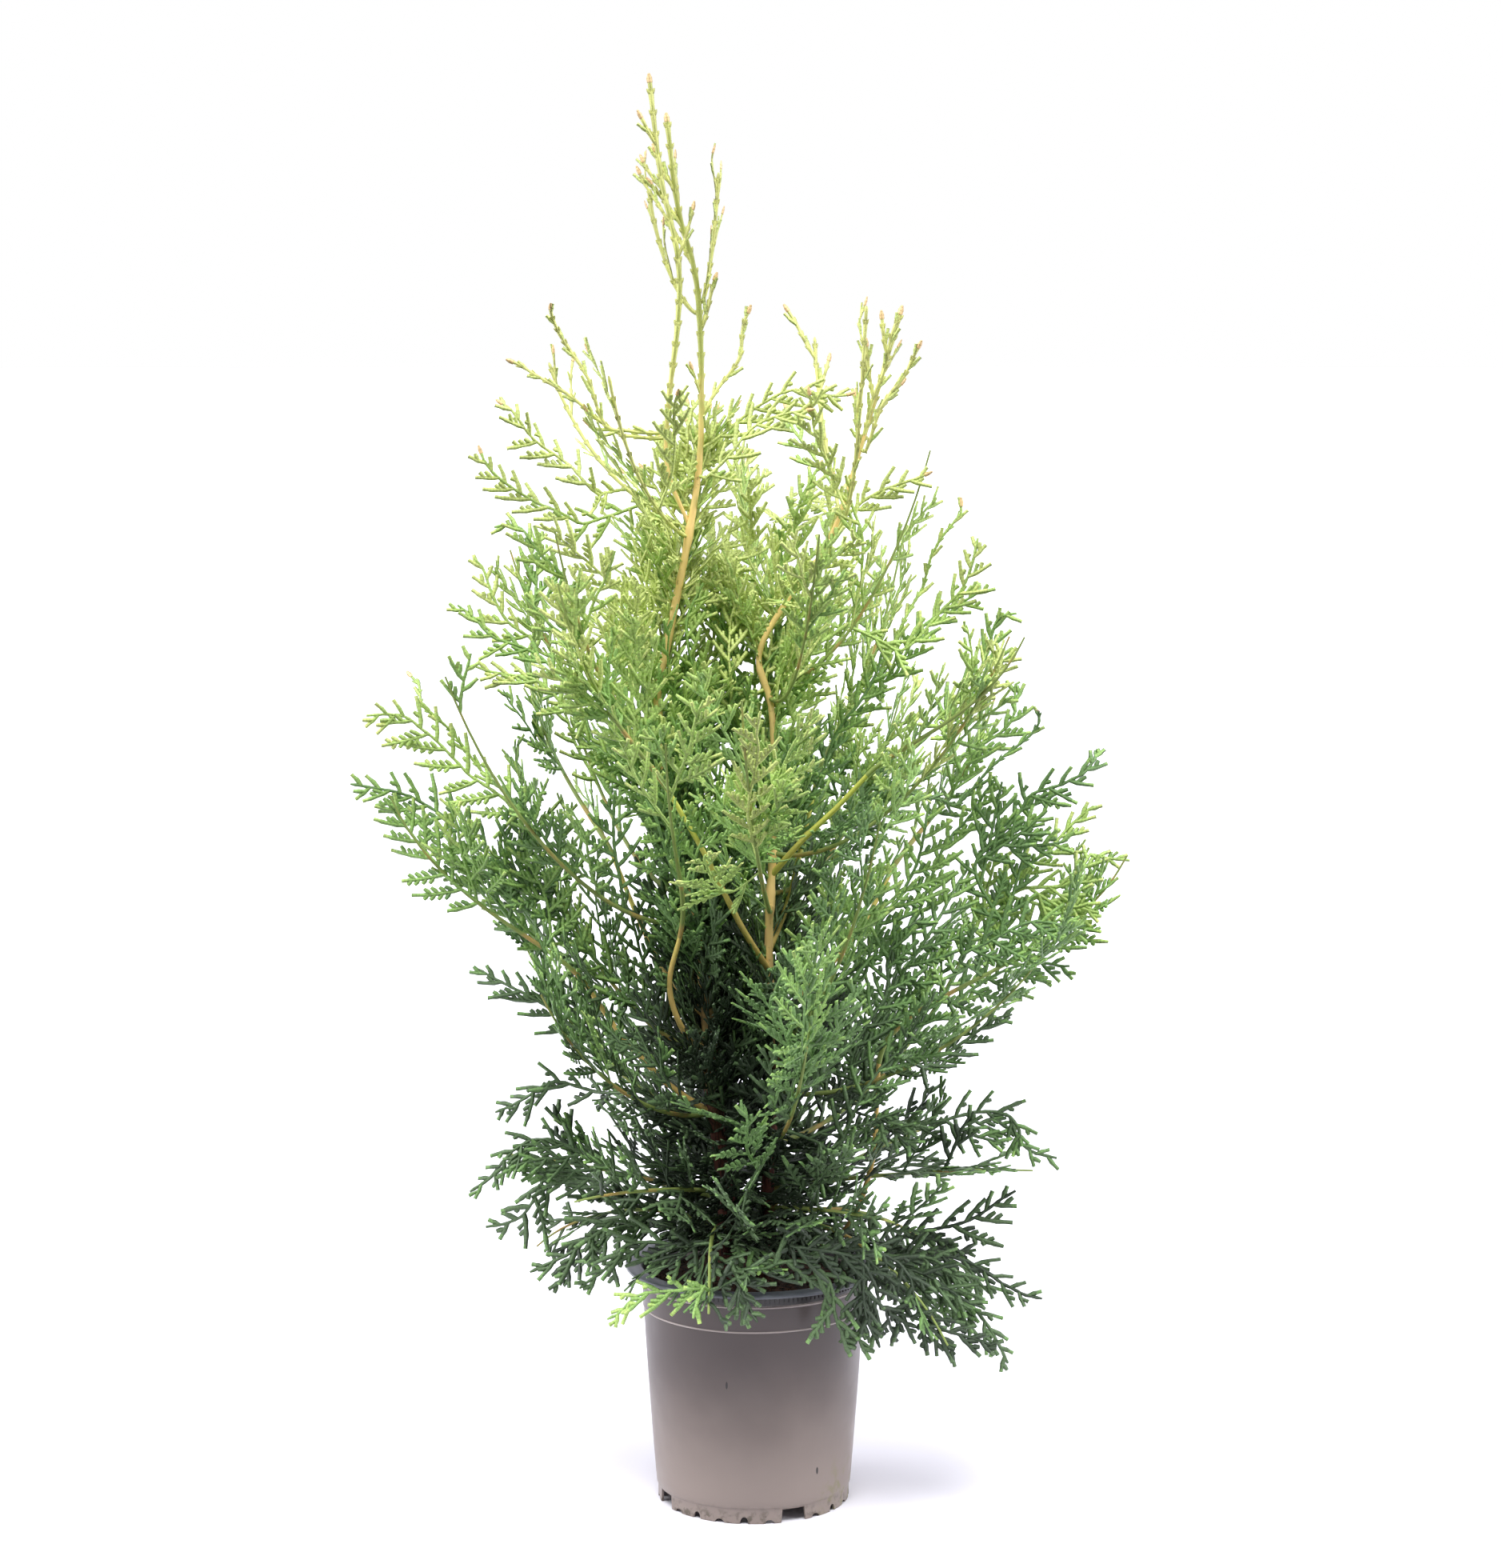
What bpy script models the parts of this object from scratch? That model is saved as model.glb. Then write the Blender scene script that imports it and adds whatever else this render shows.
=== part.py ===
"""Potted brabant arborvitae: a young conifer in a taupe nursery pot, as separate solids.

+Z is up, the origin is the centre of the pot's underside, and the front of the plant faces -Y.
All sizes are in metres and all angles in degrees. An azimuth of 0 points to the front, 90 to the
right, 180 to the back and 270 to the left.
"""

import math
import random
from dataclasses import dataclass

import bmesh
import bpy
from mathutils import Matrix, Vector
from mathutils.bvhtree import BVHTree

UP = Vector((0.0, 0.0, 1.0))
CLEARANCE = 0.0003

# Pot: a thin moulded shell with a flat overhanging rim and a notched foot
POT_HEIGHT = 0.178
RIM_RADIUS = 0.095
RIM_THICKNESS = 0.0018
NECK_RADIUS = 0.0835
FOOT_RADIUS = 0.0712
FOOT_HEIGHT = 0.0115
FOOT_STEP = 0.0011
WALL = 0.0016
FLOOR_THICKNESS = 0.0018
CENTRE_PAD_RADIUS = 0.016
CENTRE_PAD_FLARE = 0.001
RIM_BEVEL = 0.0008
RIM_LIP = 0.0012
RIM_FALL = 0.0006
MOUTH_DROP = 0.0012
FOOT_BEAD_BEVEL = 0.0008
FOOT_SEAM = 0.0002

# Foot notches: 24 even places, every sixth a wide slot, the ones between by turns nick and arch
NOTCH_PLACES = 24
NOTCH_TURN = 24.5
SLOT_HALF_WIDTH = 10.0
SLOT_HEIGHT = 0.0095
ARCH_HALF_WIDTH = 3.4
ARCH_HEIGHT = 0.0060
NOTCH_SHOULDER = 1.6

# Soil: the filling of the pot
SOIL_TOP = 0.165
SOIL_EDGE_DROP = 0.0025
SOIL_FLAT_RADIUS = 0.062

# Stems: routes are (x, y, z) of the middle of the wood, chosen to follow the photographed stems
TRUNK_ROUTE = (
    (-0.020, 0.000, SOIL_TOP + CLEARANCE),
    (-0.021, 0.002, 0.230),
    (-0.031, 0.003, 0.310),
    (-0.036, 0.000, 0.390),
    (-0.051, -0.004, 0.470),
    (-0.070, -0.006, 0.585),
    (-0.062, -0.004, 0.640),
    (-0.047, -0.002, 0.715),
    (-0.038, 0.000, 0.785),
    (-0.040, 0.002, 0.890),
    (-0.054, 0.003, 0.950),
    (-0.062, 0.004, 1.014),
)
RIGHT_STEM_ROUTE = (
    (0.010, 0.006, SOIL_TOP + CLEARANCE),
    (0.011, 0.004, 0.245),
    (0.016, -0.002, 0.335),
    (0.011, -0.006, 0.410),
    (0.015, -0.008, 0.520),
    (0.013, -0.006, 0.590),
    (0.004, -0.004, 0.630),
    (0.026, -0.002, 0.672),
    (0.056, 0.000, 0.715),
    (0.079, 0.002, 0.785),
    (0.106, 0.004, 0.878),
)
LEFT_LEADER_ROUTE = (
    (-0.049, -0.001, 0.730),
    (-0.062, -0.006, 0.765),
    (-0.061, -0.007, 0.810),
    (-0.054, -0.008, 0.870),
    (-0.054, -0.008, 0.915),
    (-0.066, -0.006, 0.972),
    (-0.074, -0.004, 1.042),
)
TRUNK_RADII = (0.0075, 0.0009)
RIGHT_STEM_RADII = (0.0056, 0.0009)
LEFT_LEADER_RADII = (0.0016, 0.0008)
ROOT_FLARE = 0.55
FLARE_HEIGHT = 0.014
FLARE_RINGS = (0.0, 0.006, 0.02, 0.045)
TAPER_POWER = 0.8
STEM_SIDES = 8
LIMB_SIDES = 6
STEM_STEP = 0.040
LIMB_STEP = 0.030
BARE_STEM_END = 0.060

# Crown outline: where the furthest tips stand left and right of the pot's axis
CROWN_HEIGHTS = (0.09, 0.16, 0.24, 0.31, 0.42, 0.48, 0.55, 0.63, 0.72, 0.81, 0.88, 0.95, 1.04)
CROWN_LEFT = (0.115, 0.165, 0.213, 0.165, 0.200, 0.262, 0.284, 0.250, 0.207, 0.197, 0.150, 0.090, 0.085)
CROWN_RIGHT = (0.13, 0.218, 0.232, 0.185, 0.235, 0.289, 0.252, 0.215, 0.170, 0.125, 0.115, 0.0, -0.04)
CROWN_DEPTH_SHARE = 0.86

# Foliage stems: each leaves the wood square to it and sweeps over to its tip
SEED = 41
BOUGH_SEED = 151
SHOOT_RADIUS = 0.0021
SHOOT_TIP_RADIUS = 0.0007
SHOOT_SHARE_OF_WOOD = 0.60
FOLIAGE_STEM_PIECES = 6
SWEEP_STEPS = 10
SWEEP_LEAVING = 0.30
SWEEP_ARRIVING = 0.76
SWEEP_ARRIVING_RISE = 0.42
SEARCH_REACH = 0.010
AZIMUTH_DRIFT = 6.0
RISE_SPREAD = (0.85, 1.15)

# Sprays: flat toothed blades in two rows along a stem and one at its end
SPRAY_SHARE = 0.52
SPRAY_LEAST = 0.045
SPRAY_MOST = 0.110
SPRAY_TAPER = 0.42
SPRAY_SPREAD = (0.85, 1.15)
SPRAY_ANGLES = (34.0, 52.0)
SPRAY_ANGLE_TAPER = 0.25
FIRST_SPRAY = 0.12
LAST_SPRAY = 0.90
END_SPRAY = 0.97
END_SPRAY_LENGTH = 0.62
FACE_TURN = 50.0
ROW_TURN = 38.0
SPRAY_BEND = 0.10
SKIRT_BEND = -0.30
BEND_SPREAD = (0.6, 1.2)
SPRAY_WIDTH_SHARE = 0.22
SMALL_SPRAY = 0.062
SPRAY_THICKNESS = 0.0022
TOOTH_VALLEY = 0.40
TOOTH_STAGGER = 0.12
MIDRIB_LOW = 0.10
MIDRIB_HIGH = 0.58
MIDRIB_THINNING = 0.75
ROOT_SKIP = 0.14
TEST_SWELL = 0.0006
SHRINK_STEPS = (1.0, 0.82, 0.66, 0.52)
CROWN_MARGIN = 1.04


@dataclass(frozen=True)
class Tier:
    """A ring of foliage masses that leave the stems at like heights.

    Base is the lowest place where a stem leaves and spread what the places vary by. Rise is the
    tip's height over the base, lean lifts the tips on the right, arch bows the stems upwards, and
    share says how far out to the crown's outline they reach.
    """

    name: str
    count: int
    first_azimuth: float
    base: float
    spread: float
    rise: float
    lean: float
    arch: float
    share: float
    sprays: int


TIERS = (
    Tier("skirt", 5, 48.0, 0.198, 0.006, -0.046, -0.022, 0.022, 1.0, 6),
    Tier("low", 6, 80.0, 0.214, 0.026, 0.030, 0.000, 0.014, 1.0, 6),
    Tier("flank", 6, 66.0, 0.258, 0.050, 0.125, 0.000, -0.006, 1.0, 6),
    Tier("shoulder", 5, 75.0, 0.420, 0.060, 0.160, -0.010, -0.010, 1.0, 6),
    Tier("inner", 3, 35.0, 0.310, 0.060, 0.180, 0.000, 0.000, 0.6, 6),
    Tier("upper", 5, 96.0, 0.560, 0.060, 0.150, 0.000, -0.010, 1.0, 6),
    Tier("top", 4, 60.0, 0.690, 0.050, 0.140, 0.000, -0.010, 1.0, 6),
    Tier("crest", 2, 85.0, 0.860, 0.020, 0.105, 0.000, -0.010, 1.0, 5),
)


@dataclass(frozen=True)
class BoughPlan:
    """A bough: the stem it leaves, its route, and the tip of the foliage that carries it on."""

    name: str
    parent: str
    route: tuple
    tip: tuple


BOUGHS = (
    BoughPlan(
        "tan_bough",
        "trunk",
        ((-0.034, 0.0, 0.335), (-0.052, -0.022, 0.358), (-0.061, -0.032, 0.392), (-0.053, -0.042, 0.430)),
        (-0.060, -0.170, 0.585),
    ),
    BoughPlan(
        "yellow_bough",
        "right_stem",
        ((0.011, -0.006, 0.398), (-0.010, -0.030, 0.437), (-0.036, -0.046, 0.492), (-0.062, -0.060, 0.540)),
        (-0.135, -0.120, 0.690),
    ),
    BoughPlan(
        "left_bough",
        "trunk",
        ((-0.029, 0.002, 0.288), (-0.064, -0.006, 0.314), (-0.096, -0.012, 0.350), (-0.123, -0.016, 0.390)),
        (-0.262, -0.030, 0.530),
    ),
    BoughPlan(
        "right_fork",
        "right_stem",
        ((0.011, -0.006, 0.412), (0.026, 0.010, 0.448), (0.036, 0.022, 0.490), (0.047, 0.032, 0.535)),
        (0.110, 0.100, 0.700),
    ),
    BoughPlan(
        "upper_right_bough",
        "right_stem",
        ((0.014, -0.008, 0.470), (0.036, -0.026, 0.498), (0.060, -0.038, 0.523), (0.082, -0.046, 0.548)),
        (0.190, -0.085, 0.650),
    ),
    BoughPlan(
        "right_low_bough",
        "right_stem",
        ((0.010, 0.006, 0.186), (0.060, -0.010, 0.196), (0.086, -0.012, 0.250), (0.092, -0.008, 0.330)),
        (0.274, 0.010, 0.480),
    ),
    BoughPlan(
        "back_bough",
        "right_stem",
        ((0.015, 0.0, 0.315), (0.022, 0.040, 0.345), (0.020, 0.066, 0.385), (0.014, 0.084, 0.430)),
        (0.020, 0.195, 0.560),
    ),
    BoughPlan(
        "back_left_bough",
        "trunk",
        ((-0.034, 0.002, 0.360), (-0.066, 0.036, 0.390), (-0.088, 0.058, 0.430), (-0.106, 0.072, 0.472)),
        (-0.175, 0.135, 0.610),
    ),
    BoughPlan(
        "back_right_bough",
        "right_stem",
        ((0.014, -0.003, 0.360), (0.050, 0.026, 0.388), (0.082, 0.048, 0.424), (0.104, 0.064, 0.462)),
        (0.185, 0.135, 0.585),
    ),
)
BOUGH_RADII = (0.0034, 0.0022)
BOUGH_SPRAYS = 7
BOUGH_FIRST_SPRAY = 0.10
END_SPRAY_ROOM = 0.014

# Foliage colour: deep green low down, lime green at the top
FRESH_FROM = 0.45
LIME_FROM = 0.70


@dataclass(frozen=True)
class Finish:
    """The plain look of a solid."""

    name: str
    colour: tuple
    roughness: float


TAUPE_PLASTIC = Finish("taupe_plastic", (0.319, 0.266, 0.235), 0.45)
PEAT = Finish("peat", (0.032, 0.020, 0.014), 0.95)
BARK = Finish("young_bark", (0.240, 0.105, 0.050), 0.80)
TAN_BARK = Finish("tan_bark", (0.500, 0.255, 0.090), 0.70)
DEEP_GREEN = Finish("deep_green_foliage", (0.030, 0.105, 0.030), 0.55)
FRESH_GREEN = Finish("fresh_green_foliage", (0.115, 0.270, 0.040), 0.55)
LIME_GREEN = Finish("lime_green_foliage", (0.290, 0.430, 0.070), 0.55)


def clear_scene():
    """Remove every object that the file starts with."""
    for obj in list(bpy.data.objects):
        bpy.data.objects.remove(obj, do_unlink=True)


def material_of(finish):
    """Return the material of a finish, made on its first use."""
    found = bpy.data.materials.get(finish.name)
    if found:
        return found
    material = bpy.data.materials.new(finish.name)
    material.use_nodes = True
    shader = material.node_tree.nodes["Principled BSDF"]
    shader.inputs["Base Color"].default_value = (*finish.colour, 1.0)
    shader.inputs["Roughness"].default_value = finish.roughness
    shader.inputs["Metallic"].default_value = 0.0
    return material


def object_from(name, vertices, faces):
    """Return a new linked mesh object."""
    mesh = bpy.data.meshes.new(name)
    mesh.from_pydata([tuple(v) for v in vertices], [], faces)
    obj = bpy.data.objects.new(name, mesh)
    bpy.context.scene.collection.objects.link(obj)
    return obj


def finish_object(obj, finish, sharp_angle=40.0):
    """Give an object its material and smooth shading with sharp edges kept."""
    obj.data.materials.clear()
    obj.data.materials.append(material_of(finish))
    obj.data.shade_smooth()
    obj.data.set_sharp_from_angle(angle=math.radians(sharp_angle))
    return obj


def toward(azimuth):
    """Return the level direction of an azimuth."""
    turn = math.radians(azimuth)
    return Vector((math.sin(turn), -math.cos(turn), 0.0))


def blend(a, b, share):
    """Return the value that lies a share of the way from a to b."""
    return a + (b - a) * share


def read_profile(height, heights, values):
    """Read a stepped profile at a height, in straight lines between its steps."""
    height = min(max(height, heights[0]), heights[-1])
    for low, high, a, b in zip(heights, heights[1:], values, values[1:]):
        if height <= high:
            return blend(a, b, (height - low) / (high - low))
    return values[-1]


def crown_section(height):
    """Return the crown's middle and its half width and half depth at a height."""
    left = read_profile(height, CROWN_HEIGHTS, CROWN_LEFT)
    right = read_profile(height, CROWN_HEIGHTS, CROWN_RIGHT)
    half = (left + right) / 2.0
    return (right - left) / 2.0, half, half * CROWN_DEPTH_SHARE


def crown_edge(height, azimuth):
    """Return the point of the crown's outline at a height and azimuth."""
    middle, half, depth = crown_section(height)
    outward = toward(azimuth)
    return Vector((middle + half * outward.x, depth * outward.y, height))


def in_crown(point):
    """Return whether a point stands inside the crown's outline, or just past it."""
    middle, half, depth = crown_section(point.z)
    return math.hypot((point.x - middle) / half, point.y / depth) < CROWN_MARGIN


def notch_columns():
    """Return (azimuth, height of the foot's edge) of each upright line of the pot."""
    columns = []
    step = 360.0 / NOTCH_PLACES
    for place in range(NOTCH_PLACES):
        middle = NOTCH_TURN + place * step
        if place % 6 == 0:
            half, height = SLOT_HALF_WIDTH, SLOT_HEIGHT
        elif place % 2 == 0:
            half, height = ARCH_HALF_WIDTH, ARCH_HEIGHT
        else:
            columns.append((middle, 0.0))
            continue
        inner = half - NOTCH_SHOULDER
        columns += [
            (middle - half, 0.0),
            (middle - inner, height),
            (middle + inner, height),
            (middle + half, 0.0),
        ]
    return sorted(columns)


def pot_profile(foot_edge):
    """Return the (radius, height) points of the pot's wall, from the floor's top round to its pad."""
    under_rim = POT_HEIGHT - RIM_THICKNESS
    floor_top = FOOT_HEIGHT + FLOOR_THICKNESS
    return (
        (FOOT_RADIUS + FOOT_STEP - WALL, floor_top),
        (NECK_RADIUS - WALL, POT_HEIGHT - MOUTH_DROP),
        (RIM_RADIUS - RIM_BEVEL, POT_HEIGHT),
        (RIM_RADIUS, POT_HEIGHT - RIM_BEVEL),
        (RIM_RADIUS, under_rim - RIM_LIP),
        (RIM_RADIUS - RIM_LIP, under_rim - RIM_LIP),
        (NECK_RADIUS, under_rim - RIM_FALL),
        (FOOT_RADIUS + FOOT_STEP, FOOT_HEIGHT + FOOT_BEAD_BEVEL),
        (FOOT_RADIUS + FOOT_SEAM, FOOT_HEIGHT),
        (FOOT_RADIUS, foot_edge),
        (FOOT_RADIUS - WALL, foot_edge),
        (FOOT_RADIUS - WALL, FOOT_HEIGHT),
        (CENTRE_PAD_RADIUS + CENTRE_PAD_FLARE, FOOT_HEIGHT),
        (CENTRE_PAD_RADIUS, 0.0),
    )


def build_pot():
    """Build the shell of the pot as one turned solid whose foot edge steps up at each notch."""
    columns = notch_columns()
    vertices = []
    for azimuth, foot_edge in columns:
        outward = toward(azimuth)
        for radius, height in pot_profile(foot_edge):
            vertices.append(outward * radius + UP * height)
    points = len(pot_profile(0.0))
    around = len(columns)
    faces = []
    for column in range(around):
        here = column * points
        there = (column + 1) % around * points
        for point in range(points - 1):
            faces.append((here + point, there + point, there + point + 1, here + point + 1))
    floor_middle = len(vertices)
    vertices.append(UP * (FOOT_HEIGHT + FLOOR_THICKNESS))
    pad_middle = len(vertices)
    vertices.append(Vector((0.0, 0.0, 0.0)))
    for column in range(around):
        here = column * points
        there = (column + 1) % around * points
        faces.append((there, here, floor_middle))
        faces.append((here + points - 1, there + points - 1, pad_middle))
    pot = object_from("pot", vertices, faces)
    recalculate_normals(pot)
    return finish_object(pot, TAUPE_PLASTIC)


def build_soil():
    """Build the filling of the pot, flat in the middle and settled a little at its edge."""
    columns = [azimuth for azimuth, _ in notch_columns()]
    floor_top = FOOT_HEIGHT + FLOOR_THICKNESS
    wall_top = POT_HEIGHT - MOUTH_DROP
    low = floor_top + CLEARANCE
    edge = SOIL_TOP - SOIL_EDGE_DROP

    def wall_radius(height):
        share = (height - floor_top) / (wall_top - floor_top)
        inner_foot = FOOT_RADIUS + FOOT_STEP - WALL
        return blend(inner_foot, NECK_RADIUS - WALL, share) - CLEARANCE

    rings = ((wall_radius(low), low), (wall_radius(edge), edge), (SOIL_FLAT_RADIUS, SOIL_TOP))
    vertices = []
    for azimuth in columns:
        for radius, height in rings:
            vertices.append(toward(azimuth) * radius + UP * height)
    around = len(columns)
    faces = []
    for column in range(around):
        here = column * len(rings)
        there = (column + 1) % around * len(rings)
        for ring in range(len(rings) - 1):
            faces.append((here + ring, there + ring, there + ring + 1, here + ring + 1))
    faces.append([column * len(rings) + 2 for column in range(around)])
    faces.append([column * len(rings) for column in reversed(range(around))])
    soil = object_from("soil", vertices, faces)
    recalculate_normals(soil)
    return finish_object(soil, PEAT)


def recalculate_normals(obj):
    """Turn every face of a closed mesh outwards."""
    edit = bmesh.new()
    edit.from_mesh(obj.data)
    bmesh.ops.recalc_face_normals(edit, faces=edit.faces)
    edit.to_mesh(obj.data)
    edit.free()


class Route:
    """A smooth line through a few points, read by the share of its length."""

    def __init__(self, points, fineness=12):
        knots = [Vector(p) for p in points]
        ends = [knots[0] * 2.0 - knots[1], *knots, knots[-1] * 2.0 - knots[-2]]
        self.line = [knots[0]]
        for a, b, c, d in zip(ends, ends[1:], ends[2:], ends[3:]):
            for step in range(1, fineness + 1):
                t = step / fineness
                self.line.append(
                    0.5
                    * (
                        2.0 * b
                        + (c - a) * t
                        + (2.0 * a - 5.0 * b + 4.0 * c - d) * t * t
                        + (3.0 * b - a - 3.0 * c + d) * t * t * t
                    )
                )
        self.marks = [0.0]
        for a, b in zip(self.line, self.line[1:]):
            self.marks.append(self.marks[-1] + (b - a).length)
        self.length = self.marks[-1]

    def at(self, share):
        """Return the point at a share of the length."""
        mark = min(max(share, 0.0), 1.0) * self.length
        for low, high, a, b in zip(self.marks, self.marks[1:], self.line, self.line[1:]):
            if mark <= high:
                return a.lerp(b, (mark - low) / (high - low))
        return self.line[-1].copy()

    def heading(self, share):
        """Return the unit direction of travel at a share of the length."""
        return (self.at(share + 0.01) - self.at(share - 0.01)).normalized()

    def share_at_height(self, height):
        """Return the first share of the length that stands at a height."""
        for mark, point in zip(self.marks, self.line):
            if point.z >= height:
                return mark / self.length
        return 1.0


@dataclass
class Limb:
    """A tapering stem or bough: its route, its first and last radius and its root flare."""

    name: str
    route: Route
    first_radius: float
    last_radius: float
    flare: float = 0.0

    def radius(self, share):
        """Return the radius of the wood at a share of the length."""
        taper = blend(self.first_radius, self.last_radius, share**TAPER_POWER)
        rise = share * self.route.length
        return taper * (1.0 + self.flare * math.exp(-rise / FLARE_HEIGHT))


def tube_mesh(name, route, radius_at, sides, shares, level_foot=False):
    """Return a closed tube along a route, with a ring at each of the shares."""
    vertices = []
    side_way = None
    for index, share in enumerate(shares):
        forward = route.heading(share)
        if index == 0 and level_foot:
            forward = UP.copy()
        if side_way is None:
            side_way = forward.orthogonal().normalized()
        side_way = (side_way - forward * side_way.dot(forward)).normalized()
        other_way = forward.cross(side_way)
        for side in range(sides):
            turn = 2.0 * math.pi * side / sides
            spoke = side_way * math.cos(turn) + other_way * math.sin(turn)
            vertices.append(route.at(share) + spoke * radius_at(share))
    faces = []
    for ring in range(len(shares) - 1):
        for side in range(sides):
            here = ring * sides + side
            there = ring * sides + (side + 1) % sides
            faces.append((here, there, there + sides, here + sides))
    faces.append(list(reversed(range(sides))))
    last = (len(shares) - 1) * sides
    faces.append(list(range(last, last + sides)))
    return object_from(name, vertices, faces)


def limb_shares(route, step=LIMB_STEP):
    """Return the shares of its length at which a limb has a ring."""
    pieces = max(3, round(route.length / step))
    return [piece / pieces for piece in range(pieces + 1)]


def build_limb(limb, sides, step, finish):
    """Build a stem or bough as one tapering solid."""
    shares = limb_shares(limb.route, step)
    if limb.flare:
        shares = [*FLARE_RINGS, *shares[1:]]
    obj = tube_mesh(limb.name, limb.route, limb.radius, sides, shares, bool(limb.flare))
    return finish_object(obj, finish, 60.0)


def leave_side(limb, tree, height, direction):
    """Return the point on a limb's side at a height, looking along a direction, and its normal."""
    share = limb.route.share_at_height(height)
    middle = limb.route.at(share)
    hit, normal, _, _ = tree.find_nearest(middle + direction * SEARCH_REACH)
    return hit, normal


def outermost_limb(limbs, height, direction):
    """Return the limb that stands furthest out in a direction at a height."""
    standing = [limb for limb in limbs if height < limb.route.at(1.0).z - BARE_STEM_END]
    return max(
        standing,
        key=lambda limb: limb.route.at(limb.route.share_at_height(height)).dot(direction),
    )


@dataclass
class Shoot:
    """The green stem of a foliage mass: its route and its first radius."""

    route: Route
    first_radius: float

    def radius(self, share):
        """Return the radius at a share of the length."""
        return blend(self.first_radius, SHOOT_TIP_RADIUS, share)

    def mesh(self, name):
        """Return the closed three-sided tube of the stem."""
        shares = [piece / FOLIAGE_STEM_PIECES for piece in range(FOLIAGE_STEM_PIECES + 1)]
        return tube_mesh(name, self.route, self.radius, 3, shares)


def sweep_route(start, out, tip, arch):
    """Return the route of a shoot that leaves square to the wood, then sweeps over to its tip."""
    span = tip - start
    level = Vector((span.x, span.y, 0.0))
    leaving = start + out * level.length * SWEEP_LEAVING + UP * arch
    arriving = start + level * SWEEP_ARRIVING + UP * (span.z * SWEEP_ARRIVING_RISE + arch)
    points = []
    for step in range(SWEEP_STEPS + 1):
        t = step / SWEEP_STEPS
        u = 1.0 - t
        curve = start * u**3 + leaving * 3.0 * u * u * t + arriving * 3.0 * u * t * t + tip * t**3
        points.append(curve)
    return Route(points, 2)


def seated_shoot(side, out, tip, arch, first_radius, wood_tree):
    """Return a shoot that starts just clear of the wood it stands on."""
    gap = CLEARANCE
    while True:
        shoot = Shoot(sweep_route(side + out * gap, out, tip, arch), first_radius)
        trial = shoot.mesh("trial")
        blocked = touches(trial, [wood_tree])
        drop(trial)
        if not blocked:
            return shoot
        gap += CLEARANCE / 2.0


@dataclass
class Mass:
    """A mass of foliage: its shoot, the number and seed of its sprays, and its finish.

    Bend is how far the sprays bow up, as a share of their length, and first_share is where on the
    shoot the lowest one stands.
    """

    name: str
    shoot: Shoot
    sprays: int
    seed: int
    finish: Finish
    bend: float
    first_share: float = FIRST_SPRAY


@dataclass(frozen=True)
class Spray:
    """One flat spray: its root, its direction, the normal of its face, and its size."""

    root: Vector
    direction: Vector
    normal: Vector
    length: float
    width: float
    bend: float


def plan_sprays(mass):
    """Return the sprays that a mass would carry: two rows along its stem and one at its end."""
    draw = random.Random(mass.seed)
    face_turn = draw.uniform(-FACE_TURN, FACE_TURN)
    longest = min(max(mass.shoot.route.length * SPRAY_SHARE, SPRAY_LEAST), SPRAY_MOST)
    planned = []
    for place in range(mass.sprays + 1):
        ending = place == mass.sprays
        share = END_SPRAY if ending else blend(mass.first_share, LAST_SPRAY, place / (mass.sprays - 1))
        forward = mass.shoot.route.heading(share)
        level = forward.cross(UP)
        if level.length < 0.05:
            level = forward.orthogonal()
        turn = face_turn + draw.uniform(-ROW_TURN, ROW_TURN)
        row = Matrix.Rotation(math.radians(turn), 3, forward) @ level.normalized()
        side = 1.0 if place % 2 == 0 else -1.0
        spread = math.radians(draw.uniform(*SPRAY_ANGLES)) * (1.0 - SPRAY_ANGLE_TAPER * share)
        direction = forward if ending else forward * math.cos(spread) + row * side * math.sin(spread)
        normal = forward.cross(row).normalized()
        length = longest * (1.0 - SPRAY_TAPER * share) * draw.uniform(*SPRAY_SPREAD)
        if ending:
            length = longest * END_SPRAY_LENGTH
        planned.append(
            Spray(
                mass.shoot.route.at(share),
                direction.normalized(),
                normal,
                length,
                length * SPRAY_WIDTH_SHARE,
                mass.bend * draw.uniform(*BEND_SPREAD),
            )
        )
    return planned


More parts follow.
